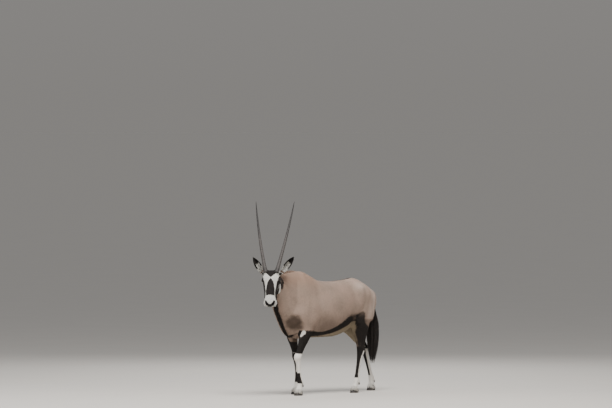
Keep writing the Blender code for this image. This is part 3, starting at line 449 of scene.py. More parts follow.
def blendStrength(points):
    # The strongest of value * clip(1.6 - 1.6 distance / reach, 0, 1), and a little everywhere.
    strength = np.full(len(points), flesh["blendLeast"])
    for centre, reach, value in flesh["blends"]:
        near = np.linalg.norm((points - np.array(centre)) / reach, axis=1)
        strength = np.maximum(strength, value * np.clip(1.6 - 1.6 * near, 0.0, 1.0))
    return strength


# Muscles, bones and hollows: start, end, reach, height out of the skin; each is set on both sides.
forms = {
    "trunk": (
        ((0.075, -0.41, 1.13), (0.15, -0.5, 0.9), 0.024, 0.005),
        ((0.15, -0.36, 1.04), (0.195, -0.335, 0.72), 0.045, -0.0075),
        ((0.165, -0.44, 0.84), (0.175, -0.42, 0.74), 0.06, 0.007),
        ((0.09, -0.59, 1.1), (0.135, -0.655, 0.84), 0.034, -0.008),
        ((0.13, -0.63, 0.8), (0.12, -0.62, 0.72), 0.04, 0.006),
        ((0.15, 0.14, 1.01), (0.18, 0.13, 0.94), 0.055, -0.012),
        ((0.13, 0.235, 1.075), (0.165, 0.262, 1.03), 0.03, 0.011),
        ((0.165, 0.33, 1.0), (0.19, 0.245, 0.82), 0.03, -0.005),
        ((0.15, 0.43, 0.96), (0.175, 0.4, 0.74), 0.02, -0.006),
        ((0.085, 0.51, 0.975), (0.08, 0.525, 0.94), 0.03, 0.009),
        ((0.2, 0.06, 0.76), (0.195, 0.16, 0.7), 0.026, 0.006),
        ((0.185, 0.15, 0.8), (0.19, 0.22, 0.74), 0.04, 0.006),
        ((0.0, -0.36, 1.15), (0.0, 0.46, 1.055), 0.022, 0.004),
        ((0.045, -0.3, 1.125), (0.05, 0.22, 1.105), 0.026, -0.003),
        ((0.0, -0.66, 0.7), (0.0, -0.6, 0.56), 0.03, 0.008),
        ((0.09, -0.83, 1.1), (0.125, -0.64, 0.93), 0.04, 0.005),
        ((0.08, -0.8, 0.9), (0.11, -0.655, 0.73), 0.024, -0.006),
        ((0.108, -0.855, 1.125), (0.118, -0.8, 1.11), 0.026, 0.009),
        ((0.085, -0.8, 1.13), (0.105, -0.62, 1.05), 0.026, -0.004),
    ),
    "head": (
        ((0.093, 0.066, -0.052), (0.166, 0.06, -0.058), 0.012, 0.0028),
        ((0.119, 0.055, -0.026), (0.145, 0.051, -0.026), 0.018, -0.0035),
        ((0.054, 0.08, -0.12), (0.106, 0.075, -0.12), 0.036, 0.0038),
        ((0.166, 0.064, -0.105), (0.209, 0.057, -0.098), 0.024, -0.0042),
        ((0.115, 0.034, 0.0), (0.248, 0.03, -0.006), 0.012, -0.003),
        ((0.037, 0.064, -0.01), (0.076, 0.068, -0.016), 0.016, 0.0034),
        ((0.02, 0.07, -0.08), (0.042, 0.073, -0.085), 0.022, -0.004),
        ((0.343, 0.0, -0.03), (0.356, 0.0, -0.064), 0.005, -0.0022),
        ((0.268, 0.06, -0.078), (0.293, 0.058, -0.078), 0.008, -0.0022),
        ((0.303, 0.056, -0.06), (0.333, 0.044, -0.06), 0.012, 0.0022),
        ((0.303, 0.0, -0.108), (0.328, 0.0, -0.1), 0.022, 0.004),
        ((0.02, 0.066, -0.172), (0.175, 0.052, -0.146), 0.012, 0.0025),
        ((0.072, 0.02, 0.01), (0.175, 0.016, 0.004), 0.02, 0.0016),
    ),
    # leg forms are from a joint: outwards, forwards, up
    "fore": (
        ("elbow", (0.044, -0.085, 0.02), (0.04, -0.078, 0.0), 0.026, 0.008),
        ("elbow", (0.052, 0.02, -0.04), (0.04, 0.03, -0.11), 0.032, 0.005),
        ("elbow", (0.05, -0.025, -0.04), (0.036, -0.02, -0.15), 0.014, -0.003),
        ("knee", (0.0, 0.044, 0.012), (0.0, 0.042, -0.01), 0.022, 0.0035),
        ("knee", (0.036, 0.01, 0.006), (0.034, 0.01, -0.01), 0.016, 0.003),
        ("knee", (0.0, -0.04, 0.01), (0.0, -0.04, -0.008), 0.016, 0.005),
        ("knee", (0.024, -0.01, -0.05), (0.023, -0.012, -0.2), 0.0065, -0.0026),
        ("fetlock", (0.016, -0.032, 0.006), (0.016, -0.03, -0.006), 0.013, 0.0045),
        ("fetlock", (0.028, 0.002, 0.002), (0.028, 0.002, -0.004), 0.013, 0.0022),
        ("fetlock", (0.0, 0.03, -0.03), (0.0, 0.032, -0.05), 0.01, -0.002),
    ),
    "hind": (
        ("stifle", (0.055, 0.13, 0.0), (0.055, 0.12, -0.03), 0.034, 0.006),
        ("stifle", (0.06, 0.03, -0.07), (0.044, 0.02, -0.17), 0.034, 0.005),
        ("stifle", (0.046, -0.05, -0.15), (0.036, -0.045, -0.25), 0.014, -0.005),
        ("hock", (0.0, -0.062, 0.04), (0.0, -0.058, 0.01), 0.017, 0.008),
        ("hock", (0.034, 0.01, 0.01), (0.032, 0.01, -0.02), 0.018, 0.003),
        ("hock", (0.026, -0.03, 0.05), (0.026, -0.036, 0.02), 0.012, -0.004),
        ("hock", (0.023, -0.012, -0.07), (0.022, -0.012, -0.23), 0.0065, -0.0026),
        ("fetlock", (0.016, -0.032, 0.006), (0.016, -0.03, -0.006), 0.013, 0.0045),
        ("fetlock", (0.028, 0.002, 0.002), (0.028, 0.002, -0.004), 0.013, 0.0022),
    ),
    # ribs: first and last place along the trunk, count, x and height of the top, x of the lower end, how far
    # back it lies and its height, reach, height out of the skin
    "ribs": (-0.26, 0.1, 8, (0.19, 1.0), (0.215, 0.07, 0.7), 0.011, 0.0016),
}


def pushed(points, normals, rows):
    # Each point moves along its normal by height * exp(-(distance to the segment / reach)^2).
    rise = np.zeros(len(points))
    for start, end, reach, height in rows:
        distance = distanceToSegment(points, np.asarray(start, float), np.asarray(end, float))[0]
        rise += height * np.exp(-(distance / reach) ** 2)
    return points + rise[:, None] * normals


def formRows():
    # Every form's start, end, reach and height in the body's frame, the sides' forms twice.
    rows = []
    mirrored = np.array((-1.0, 1.0, 1.0))
    first, last, count, (x, top), (outX, back, bottom), *size = forms["ribs"]
    ribs = [((x, y, top), (outX, y + back, bottom), *size) for y in np.linspace(first, last, count)]
    for start, end, reach, height in (*forms["trunk"], *ribs):
        rows.append((start, end, reach, height))
        if start[0] > 0:
            rows.append((start * mirrored, end * mirrored, reach, height))
    for start, end, reach, height in forms["head"]:
        for side in (1, -1) if start[1] > 0 else (1,):
            flip = np.array((1.0, side, 1.0))
            rows.append((headPoint(start * flip), headPoint(end * flip), reach, height))
    for name, joints in flesh["legs"].items():
        outer = 1.0 if joints["coronet"][0] > 0 else -1.0
        for joint, start, end, reach, height in forms["fore" if name.startswith("fore") else "hind"]:
            place = np.array(joints[joint])
            twice = joint in ("knee", "hock", "fetlock") and start[0] > 0
            for side in (outer, -outer) if twice else (outer,):
                flip = np.array((side, -1.0, 1.0))
                rows.append((place + start * flip, place + end * flip, reach, height))
    return rows


# Ears, lids, nostrils and the mouth line.
headParts = {
    "middle": (0.145, 0.0, -0.07),
    "earRoot": (-0.04, 0.088, -0.118),
    "earLength": 0.2,
    "earHalfWidth": 0.031,
    "earAxis": {1: (0.447, 0.417, 0.792), -1: (-0.656, -0.002, 0.755)},
    "earOpening": {1: (0.68, -0.7, 0.05), -1: (0.25, -0.95, 0.2)},
    # share of the length, share of the half width
    "earProfile": (
        (0.0, 0.5), (0.1, 0.62), (0.22, 0.82), (0.34, 0.96), (0.46, 1.0), (0.58, 0.97), (0.7, 0.85),
        (0.82, 0.64), (0.92, 0.4), (1.0, 0.1),
    ),
    # half angle of the ear's arc in degrees, at its root and less by its tip
    "earWrap": (150.0, 75.0),
    "earWall": 0.0034,
    "eyeCentre": (0.073, 0.0705, -0.046),
    "eyeRadius": 0.0195,
    "gaze": (0.05, 0.93, 0.34),
    "lidOpening": (1.12, 0.7),
    "lidSize": 0.0034,
    "socketGap": 0.0006,
    # down the face, across, off the face, radius
    "nostril": (
        (0.349, 0.011, -0.052, 0.004), (0.343, 0.022, -0.044, 0.0065), (0.333, 0.033, -0.036, 0.0065),
        (0.318, 0.041, -0.031, 0.003),
    ),
    "mouthStart": 0.273,
    "mouthHeight": -0.074,
    "mouthThickness": 0.0026,
    "mouthOuter": (0.095, 0.08),
    "mouthInner": (0.066, 0.05),
    # half width of the head, and where down the face its coat and its chart start
    "halfReach": 0.13,
    "coatStart": -0.085,
    "chartStart": -0.09,
}


def earFrame(side):
    # Root, line, opening square to the line, and the way across: line x opening.
    axis = unit(np.array(headParts["earAxis"][side]))
    opening = np.array(headParts["earOpening"][side])
    opening = unit(opening - axis * (opening @ axis))
    root = headPoint(headParts["earRoot"] * np.array((1.0, side, 1.0)))
    return root, axis, opening, np.cross(axis, opening)


def earWrap(share):
    # The half angle of the arc, falling evenly from root to tip.
    start, fall = headParts["earWrap"]
    return np.radians(start - fall * share)


def earShape(side):
    # A pointed cup: every section is an arc of a circle with a wall, open wide at the middle.
    root, axis, opening, across = earFrame(side)
    share, size = curveThrough(headParts["earProfile"], 34).T
    width = headParts["earHalfWidth"] * size
    wrap = earWrap(share)
    radius = width / np.sin(np.minimum(wrap, math.pi / 2))
    wall = np.minimum(headParts["earWall"], radius * 0.45)
    turn = np.linspace(-1, 1, 19)[None, :] * wrap[:, None]
    middle = (root + axis * (headParts["earLength"] * share)[:, None]
              + opening * (radius * np.cos(wrap) * 0.5)[:, None])
    spoke = np.sin(turn)[..., None] * across - np.cos(turn)[..., None] * opening
    thin = wall[:, None] * (1 - 0.55 * np.abs(np.linspace(-1, 1, 19)) ** 4)
    outer = middle[:, None] + radius[:, None, None] * spoke
    inner = middle[:, None] + (radius[:, None] - thin)[..., None] * spoke
    rings = np.concatenate([outer, inner[:, ::-1]], axis=1)
    count, sides = rings.shape[:2]
    j = np.arange(sides // 2 - 1)
    faces = [bandFaces(count, sides)]
    for ring in (0, count - 1):
        a, b, c, d = (ring * sides + k for k in (j, j + 1, sides - 2 - j, sides - 1 - j))
        cap = np.concatenate([np.stack([a, b, c], -1), np.stack([a, c, d], -1)])
        faces.append(cap[:, ::-1] if ring == 0 else cap)
    return outward(rings.reshape(-1, 3), np.concatenate(faces))


def eyeFrame(side):
    # The gaze, the long way of the opening along the face and the short way across it.
    gaze = unit(np.array(headParts["gaze"]) * np.array((1.0, side, 1.0)))
    longWay = unit(np.array((1.0, 0.0, 0.0)) - gaze * gaze[0])
    shortWay = np.cross(gaze, longWay)
    centre = headPoint(np.array(headParts["eyeCentre"]) * np.array((1.0, side, 1.0)))
    return centre, gaze @ headAxes(), longWay @ headAxes(), shortWay @ headAxes()


def lidShape(side):
    # A rim of round section along an oval on the eyeball, thicker above than below.
    centre, gaze, longWay, shortWay = eyeFrame(side)
    turn = np.linspace(0, 2 * math.pi, 40, endpoint=False)
    a, b = headParts["lidOpening"]
    out = unit(gaze + (a * np.cos(turn))[:, None] * longWay + (b * np.sin(turn))[:, None] * shortWay)
    away = unit(out - gaze * (out @ gaze)[:, None])
    rings = ovalRings(centre + out * headParts["eyeRadius"], away, gaze, headParts["lidSize"] * 1.6,
                      headParts["lidSize"], headParts["lidSize"], 2.0, 10)
    return outward(rings.reshape(-1, 3), bandFaces(40, 10, closed=True))


def nostrilShape(side):
    # Round sections along a comma from the nostril's wing to its slit.
    along, across, off, radius = curveThrough(headParts["nostril"], 14).T
    centre = headPoint(np.stack([along, side * across, off], axis=1))
    return tube(ovalRings(centre, headAxes()[0], headAxes()[2], radius, radius, radius, 2.0, 14))


def mouthShape():
    # A thin horseshoe: an ellipse's half ring with a height that droops towards the front.
    turn = np.linspace(-0.5 * math.pi, 0.5 * math.pi, 41)
    rings = []
    for (reach, half), lift in ((headParts["mouthOuter"], 1), (headParts["mouthInner"], 1),
                                (headParts["mouthInner"], -1), (headParts["mouthOuter"], -1)):
        along = headParts["mouthStart"] + reach * np.cos(turn)
        height = headParts["mouthHeight"] + 0.10 * (along - headParts["mouthStart"])
        rings.append(headPoint(np.stack([along, half * np.sin(turn),
                                         height + lift * headParts["mouthThickness"] / 2], axis=1)))
    return tube(np.stack(rings, axis=1))


def combined(thing, shapes, operation):
    # One Boolean with a collection of closed meshes, which are then removed.
    tools = bpy.data.collections.new("tools")
    bpy.context.scene.collection.children.link(tools)
    for points, faces in shapes:
        other = makeObject("tool", points, faces)
        tools.objects.link(other)
        bpy.context.scene.collection.objects.unlink(other)
    step = thing.modifiers.new("step", "BOOLEAN")
    step.operation = operation
    step.operand_type = "COLLECTION"
    step.collection = tools
    step.solver = "MANIFOLD"
    points, faces, _ = readObject(thing)
    for other in list(tools.objects):
        removeObject(other)
    bpy.data.collections.remove(tools)
    removeObject(thing)
    return makeObject("skin", points, faces)


def refineHead(points, faces, reach):
    # Every triangle edge near the head is halved.
    mesh = bpy.data.meshes.new("refine")
    mesh.from_pydata(points, [], faces.tolist())
    work = bmesh.new()
    work.from_mesh(mesh)
    middle = headPoint(headParts["middle"])
    near = np.linalg.norm(points - middle, axis=1) < reach
    work.verts.ensure_lookup_table()
    edges = [e for e in work.edges if near[e.verts[0].index] and near[e.verts[1].index]]
    bmesh.ops.subdivide_edges(work, edges=edges, cuts=1, use_grid_fill=True)
    bmesh.ops.triangulate(work, faces=work.faces)
    work.to_mesh(mesh)
    work.free()
    thing = bpy.data.objects.new("refine", mesh)
    bpy.context.scene.collection.objects.link(thing)
    result = readObject(thing)
    removeObject(thing)
    return result


def thinned(points, faces):
    # Fewer triangles on the trunk and thighs, more kept on the head and the lower legs.
    block = makeObject("block", points, faces)
    group = block.vertex_groups.new(name="keep")
    fromHead = np.linalg.norm(points - headPoint(headParts["middle"]), axis=1)
    share = np.where(fromHead < 0.26, 0.6, np.where(points[:, 2] < 0.5, 0.85, 1.0))
    for level in sorted(set(share.tolist())):
        group.add(np.flatnonzero(share == level).tolist(), level, "REPLACE")
    fewer = block.modifiers.new("fewer", "DECIMATE")
    fewer.ratio = flesh["triangles"] / len(faces)
    fewer.vertex_group = "keep"
    fewer.vertex_group_factor = 0.005
    points, faces, _ = readObject(block)
    removeObject(block)
    return points, faces


def buildSkin():
    # The shapes melt into one skin, which is blended, modelled, thinned and fused with the head's parts.
    shapes = [trunkShape(), neckShape(), headShape(), dockShape(), *map(limbShape, flesh["legs"])]
    block = makeObject("block", *joined(shapes + lumpShapes()))
    remesh = block.modifiers.new("skin", "REMESH")
    remesh.mode = "VOXEL"
    remesh.voxel_size = flesh["voxel"]
    points, faces, edges = readObject(block)
    removeObject(block)
    points = relaxed(points, edges, 50, blendStrength(points))
    report(f"flesh of {len(faces)} triangles")
    points = pushed(points, pointNormals(points, faces), formRows())
    points, faces = thinned(points, faces)
    points, faces, edges = refineHead(points, faces, 0.235)
    report(f"refined to {len(faces)} triangles")
    onHead = smoothStep(0.26, 0.22, np.linalg.norm(points - headPoint(headParts["middle"]), axis=1))
    points = relaxed(points, edges, 4, 0.25 + 0.25 * onHead)
    skin = makeObject("skin", points, faces)
    skin = combined(skin, [earShape(1), earShape(-1), lidShape(1), lidShape(-1)], "UNION")
    cutters = [nostrilShape(1), nostrilShape(-1), mouthShape()]
    size = headParts["eyeRadius"] + headParts["socketGap"]
    cutters += [ball(eyeFrame(side)[0], (size,) * 3, rows=30, sides=40) for side in (1, -1)]
    skin = combined(skin, cutters, "DIFFERENCE")
    points, faces, edges = readObject(skin)
    removeObject(skin)
    report(f"head's parts fused, {len(faces)} triangles")
    return points, faces, edges


# Markings: each is a field in metres, above zero inside the mark.
marks = {
    "range": 0.03,
    # the value of a field well outside its mark
    "outside": -0.05,
    # place along the trunk, height
    "flankTop": ((-0.5, 0.626), (-0.473, 0.623), (-0.289, 0.611), (-0.198, 0.633), (-0.126, 0.672),
                 (-0.061, 0.706), (-0.013, 0.746), (0.04, 0.758), (0.1, 0.764), (0.18, 0.768)),
    "flankBottom": ((-0.5, 0.572), (-0.368, 0.57), (-0.238, 0.573), (-0.172, 0.59), (-0.083, 0.617),
                    (-0.027, 0.644), (0.04, 0.676), (0.062, 0.704), (0.18, 0.722)),
    # front and rear end of the band, and how much farther back it runs on the right side
    "flankEnds": (-0.52, 0.165, 0.06),
    "throat": ((0.105, -0.935, 1.01), (0.08, -0.9, 0.925), (0.052, -0.862, 0.835), (0.032, -0.802, 0.742),
               (0.014, -0.742, 0.66), (0.004, -0.682, 0.59), (0.0, -0.64, 0.566)),
    "throatRadius": (0.024, 0.026, 0.028, 0.03, 0.03, 0.026, 0.018),
    "brisket": ((-0.12, -0.565, 0.606), (-0.075, -0.608, 0.583), (0.0, -0.632, 0.574), (0.06, -0.616, 0.578),
                (0.112, -0.577, 0.602)),
    "brisketRadius": 0.017,
    # painted shade under the shoulder's bulge on the breast, the same on both sides: along the picture's
    # width and height, reach both ways
    "paintedBreastShade": (-0.38, 0.714, 0.072, 0.066),
    "spine": ((0.0, -0.62, 1.19), (0.0, -0.49, 1.196), (0.0, -0.385, 1.168), (0.0, -0.14, 1.104),
              (0.0, 0.1, 1.107),
              (0.0, 0.275, 1.128), (0.0, 0.4, 1.09), (0.0, 0.5, 1.03), (0.0, 0.57, 0.965), (0.0, 0.6, 0.88)),
    "spineRadius": (0.008, 0.009, 0.01, 0.011, 0.014, 0.02, 0.034, 0.038, 0.036, 0.04),
    "kneeTop": 0.405,
    "legTop": 0.632,
    "innerTop": 0.512,
    "cannonPatch": (0.118, 0.222),
    "armpit": ((0.146, -0.56, 0.612), (0.122, -0.58, 0.578)),
    "armpitRadius": (0.021, 0.013),
    # height, front edge and rear edge of the thigh patch, from the line of the bones
    "thigh": ((0.4, -0.046, 0.14), (0.45, -0.048, 0.14), (0.52, -0.06, 0.14), (0.6, -0.085, 0.11),
              (0.637, -0.095, 0.085), (0.66, -0.102, 0.052), (0.68, -0.11, 0.02), (0.7, -0.122, 0.002),
              (0.717, -0.16, -0.006), (0.74, -0.22, -0.01), (0.757, -0.21, -0.013), (0.77, -0.165, -0.018),
              (0.782, -0.11, -0.028), (0.795, -0.06, -0.048), (0.806, -0.02, -0.075)),
    # heights between which the thigh's black softens to brown
    "thighSoft": (0.725, 0.79),
    "hockTop": 0.425,
    "pastern": 0.15,
    # down the face, half width
    "forehead": ((-0.08, 0.05), (-0.03, 0.06), (0.0, 0.056), (0.02, 0.044), (0.0415, 0.026), (0.068, 0.0),
                 (0.089, -0.03)),
    "blaze": ((0.054, -0.02), (0.077, 0.0), (0.093, 0.014), (0.119, 0.029), (0.153, 0.037), (0.188, 0.041),
              (0.252, 0.041)),
    "blazeEnd": 0.252,
    "eyeStripe": ((-0.03, 0.088, -0.102), (0.015, 0.085, -0.08), (0.042, 0.081, -0.06),
                  (0.073, 0.077, -0.039),
                  (0.11, 0.074, -0.046), (0.158, 0.07, -0.048), (0.202, 0.064, -0.047), (0.254, 0.06, -0.05),
                  (0.286, 0.058, -0.052)),
    "eyeStripeRadius": (0.016, 0.018, 0.022, 0.0285, 0.028, 0.029, 0.0285, 0.0235, 0.012),
    # its lower edge runs back over the cheek
    "cheekStripe": ((0.045, 0.082, -0.136), (0.07, 0.08, -0.1), (0.105, 0.074, -0.112),
                    (0.132, 0.067, -0.134),
                    (0.156, 0.058, -0.15), (0.176, 0.052, -0.176)),
    "cheekStripeRadius": (0.017, 0.03, 0.022, 0.015, 0.014, 0.012),
    # down the face, height off it: along the back of the jaw on both sides
    "jawStripe": ((-0.04, 0.0, -0.138), (0.01, 0.0, -0.168), (0.056, 0.0, -0.178), (0.08, 0.0, -0.182),
                  (0.092, 0.0, -0.187)),
    "jawStripeRadius": (0.016, 0.028, 0.028, 0.02, 0.008),
    "nosePad": ((0.312, 0.04, -0.028), (0.33, 0.034, -0.034), (0.346, 0.018, -0.044), (0.352, 0.0, -0.052)),
    "nosePadRadius": (0.0095, 0.0135, 0.015, 0.0165),
    # back edge of the face: down the face, height off it
    "jawLine": ((-0.1, -0.06), (-0.04, -0.108), (0.0, -0.136), (0.029, -0.146), (0.089, -0.156),
                (0.132, -0.168), (0.175, -0.156), (0.218, -0.136), (0.268, -0.12), (0.368, -0.105)),
    "chin": (0.268, 0.298),
    "earRoot": (-0.022, 0.08, -0.098),
    "earRootReach": 0.034,
    "earRim": 0.0095,
}


def valueAt(rows, values, column=1):
    # The rows' column, evenly between the rows, where their first column has the values.
    rows = np.asarray(rows, float)
    return np.interp(values, rows[:, 0], rows[:, column])


def wander(points, scale, seed):
    # A sum of eight sine waves in seeded directions, from about -1 to 1.
    waves = np.random.default_rng(seed)
    directions = unit(waves.normal(size=(8, 3))) * waves.uniform(0.6, 1.6, (8, 1)) * scale
    return np.sin(points @ directions.T + waves.uniform(0, 2 * math.pi, 8)).sum(axis=1) / 4


def lineAt(name, heights, columns):
    # The columns of the leg's curve, evenly between its rows, at the heights.
    rows = limbRows(name)[::-1]
    return [np.interp(heights, rows[:, 2], rows[:, column]) for column in columns]


def legPlace(points, name):
    # Outwards and backwards of the leg's line at the point's height, and how deep in the leg it is.
    x, y, halfWidth, front, behind = lineAt(name, points[:, 2], (0, 1, 3, 4, 5))
    outer = 1.0 if flesh["legs"][name]["coronet"][0] > 0 else -1.0
    out = (points[:, 0] - x) * outer
    back = points[:, 1] - y
    reach = np.hypot(out / halfWidth, back / np.where(back < 0, front, behind))
    return out, back, halfWidth * (1.4 - reach)


def earPlace(points, side):
    # Share of the way up the ear, distance from its line, turn from its back, place past its edge.
    root, axis, opening, across = earFrame(side)
    share = (points - root) @ axis / headParts["earLength"]
    away = np.linalg.norm(points - root - axis * (share * headParts["earLength"])[:, None], axis=1)
    turn = np.abs(np.arctan2((points - root) @ across, -((points - root) @ opening)))
    halfWidth = headParts["earHalfWidth"] * valueAt(headParts["earProfile"], share)
    return share, away, turn, np.abs((points - root) @ across) - halfWidth


def onEar(share, away, start, reach=0.055):
    # Near the ear's line, from a share of its length to just past its tip.
    return (share > start) & (away < reach) & (share < 1.1)


def aboveJaw(place, start):
    # Height over the face's back edge, and whether a place is on the head.
    down, across, off = place.T
    return off - valueAt(marks["jawLine"], down), (down > start) & (np.abs(across) < headParts["halfReach"])


def shade(at, row):
    # The row's share times the product of its smooth steps.
    product, *steps = row
    for name, start, full in steps:
        product = product * smoothStep(start, full, at[name])
    return product


def coatMarks(points, normals):
    # Fields of black, of white and of lightness at each point of the coat; the lightness holds painted light
    # and shade as well as the coat's own tone.
    x, y, z = points.T
    rough = 0.0035 * wander(points, 90.0, 3) + 0.003 * wander(points, 30.0, 4)
    place = inHead(points)
    down, across, off = place.T
    overJaw, isNear = aboveJaw(place, headParts["coatStart"])
    face = np.where(isNear, overJaw + 0.004, marks["outside"])
    onFace = smoothStep(-0.006, 0.006, face)
    lowOnTrunk = valueAt(marks["flankBottom"], y)
    start, end, farther = marks["flankEnds"]
    flank = np.minimum.reduce([valueAt(marks["flankTop"], y) - z, z - lowOnTrunk,
                               end + farther * (x < 0) - y, y - start])
    flank = np.minimum(flank, 0.02 - 0.0188 * smoothStep(0.035, 0.065, y))
    flank = np.where(np.abs(x) > 0.04, flank, marks["outside"])
    black = np.maximum.reduce([
        flank + rough,
        strip(points, marks["throat"], marks["throatRadius"]) + rough,
        strip(points, marks["brisket"], marks["brisketRadius"]) + rough,
        strip(points, marks["spine"], marks["spineRadius"]) + 0.6 * rough,
    ])
    white = np.minimum.reduce([lowOnTrunk - z, y + 0.47, 0.60 - y]) - 0.002
    tone = 0.5 + 0.05 * wander(points, 9.0, 5) + 0.04 * wander(points, 24.0, 6)
    # Painted shade on the breast under the shoulder's bulge, mottled, the same on both sides.
    aside, height, wide, tall = marks["paintedBreastShade"]
    sideways = 0.731 * np.abs(x) + 0.682 * y
    lean = sideways - aside + 0.25 * (z - height)
    breastShade = (lean / wide) ** 2 + ((z - height) / tall) ** 2 + 0.55 * wander(points, 26.0, 8)
    breastShade += 0.40 * wander(points, 75.0, 9)
    tone -= 0.52 * smoothStep(2.4, 0.0, breastShade) * (y < -0.40)
    throat = strip(points, marks["throat"], 0.0)
    tone -= 0.22 * np.exp(-(throat / 0.045) ** 2)
    tone -= 0.36 * smoothStep(-0.01, 0.04, y) * smoothStep(-0.03, 0.0, flank)
    # The lower flank is darker: partly the coat's own darker tone low on the flank, partly painted shade on
    # the underside.
    tone -= 0.20 * smoothStep(0.84, 0.68, z) * smoothStep(-0.42, -0.30, y) * smoothStep(0.34, 0.20, y)
    # Painted shade: the white belly takes the white in shade.
    tone -= 0.34 * smoothStep(-0.01, 0.01, white) * smoothStep(0.46, 0.52, z)
    # Painted highlights on the hip and up the rear of the thigh.
    tone += 0.42 * np.exp(-(((y - 0.26) / 0.095) ** 2 + ((z - 1.050) / 0.050) ** 2))
    tone += 0.34 * smoothStep(0.36, 0.46, y) * smoothStep(0.62, 0.80, z)
    tone -= 0.03 * smoothStep(0.95, 1.10, z) * smoothStep(0.2, 0.0, y)
    warm = smoothStep(1.00, 1.15, z) * smoothStep(-0.25, -0.42, y)
    for name in flesh["legs"]:
        out, back, inside = legPlace(points, name)
        lower = smoothStep(0.0, 0.008, inside)
        if name.startswith("fore"):
            top = marks["legTop"] - z
            if name == "foreleg_right":
                inner = smoothStep(0.030, -0.005, out)
                top = top - (marks["legTop"] - marks["innerTop"]) * inner
                # Painted shade on the inner side of the far foreleg, between the legs.
                tone -= 0.16 * inner * lower * smoothStep(0.47, 0.49, z) * smoothStep(0.62, 0.58, z)
            dark = np.minimum.reduce([inside, top, z - marks["kneeTop"] + 0.1 * back + rough])
            low, high = marks["cannonPatch"]
            shank = np.minimum.reduce([inside, z - low, high - z, -0.004 - back + 0.25 * out])
            dark = np.maximum(dark, shank + 0.5 * rough)
            if name == "foreleg_right":
                line = np.minimum.reduce([inside, -0.014 - back + 0.30 * out, marks["kneeTop"] - z,
                                          z - high + 0.01])
                dark = np.maximum(dark, line + 0.4 * rough)
            pale = np.minimum(inside, marks["kneeTop"] + 0.01 - z)
            onLeg = np.minimum(inside, 0.66 - z) > 0.005
        else:
            front, rear = valueAt(marks["thigh"], z, 1), valueAt(marks["thigh"], z, 2)
            outer = np.where((z > 0.44) & ((z > 0.62) | (back < 0.0)), out + 0.012, 0.05)
            dark = np.minimum.reduce([inside, back - front, rear - back, z - marks["hockTop"] + 0.012,
                                      outer]) + rough
            brown = -0.0006 + 0.0035 * smoothStep(marks["thighSoft"][1], marks["thighSoft"][0], z)
            near = smoothStep(-0.030, 0.0, dark) * smoothStep(0.60, 0.68, z) * smoothStep(0.0, -0.03, back)
            tone -= 0.34 * near * smoothStep(0.0, 0.02, inside)
            dark = np.minimum(dark, brown)
            stripe = np.minimum.reduce([inside, -0.010 + 0.35 * out - back, marks["hockTop"] + 0.03 - z,
                                        z - marks["pastern"]])
            dark = np.maximum(dark, stripe + 0.6 * rough)
            pale = np.minimum(inside, marks["hockTop"] + 0.012 - z)
            inner = np.minimum.reduce([inside, -0.012 - out, 0.72 - z])
            frontStrip = np.minimum.reduce([inside, front - back, 0.70 - z])
            thighPale = np.maximum(inner, frontStrip)
            pale = np.maximum(pale, 0.9 * np.clip(thighPale, -0.05, 0.010))
            # Painted shade: the pale inner thigh and the thigh's front strip take the white in shade.
            tone -= 0.38 * smoothStep(-0.01, 0.01, thighPale) * smoothStep(0.40, 0.46, z)
            onLeg = np.minimum(inside, 0.80 - z) > 0.005
            # Painted highlight on the upper rear of the thigh.
            tone += 0.20 * lower * smoothStep(0.0, 0.05, back) * smoothStep(0.62, 0.70, z)
        # The white of the lower legs takes the lit white, a painted highlight.
        tone = np.where((inside > 0) & (z < 0.44), 0.72, tone)
        trunkBlack = np.where(z > 0.56, black, marks["outside"])
        black = np.where(onLeg, np.maximum(dark, trunkBlack), black)
        white = np.where(onLeg, pale, white)
        dewclaw = np.minimum(inside, 0.014 - np.hypot(z - 0.092, back - 0.03))
        black = np.maximum(black, np.minimum(dewclaw, 0.004))
    armpit = strip(points, marks["armpit"], marks["armpitRadius"])
    mirrored = strip(points * (-1, 1, 1) - (0.0, 0.035, 0.0), marks["armpit"], marks["armpitRadius"])
    armpit = np.maximum(armpit, mirrored) + 0.5 * rough
    white = np.maximum(white, armpit)
    tone = np.where(armpit > -0.004, 0.5, tone)
    black = np.minimum(black, np.where(armpit > -0.01, -armpit, 0.05))
    top = off + 0.075
    crown = np.minimum(valueAt(marks["forehead"], down) - np.abs(across), top)
    blaze = np.minimum.reduce([valueAt(marks["blaze"], down) - np.abs(across), marks["blazeEnd"] - down, top])
    mirror = np.abs(place * (0, 1, 0)) + place * (1, 0, 1)
    eyeStripe = np.maximum(strip(mirror, marks["eyeStripe"], marks["eyeStripeRadius"]),
                           strip(mirror, marks["cheekStripe"], marks["cheekStripeRadius"]))
    jawStripe = strip(place * (1, 0, 1), marks["jawStripe"], marks["jawStripeRadius"])
    jawStripe = np.minimum(jawStripe + 0.4 * rough, 0.0024)
    pad = strip(mirror, marks["nosePad"], marks["nosePadRadius"])
    faceBlack = np.maximum(np.maximum.reduce([crown, blaze, eyeStripe, pad]) + 0.35 * rough, jawStripe)
    behind = np.maximum(black, np.where(face > marks["outside"], jawStripe, marks["outside"]))
    black = np.where(face > 0, faceBlack, behind)
    white = np.where(face > 0, marks["range"], white)
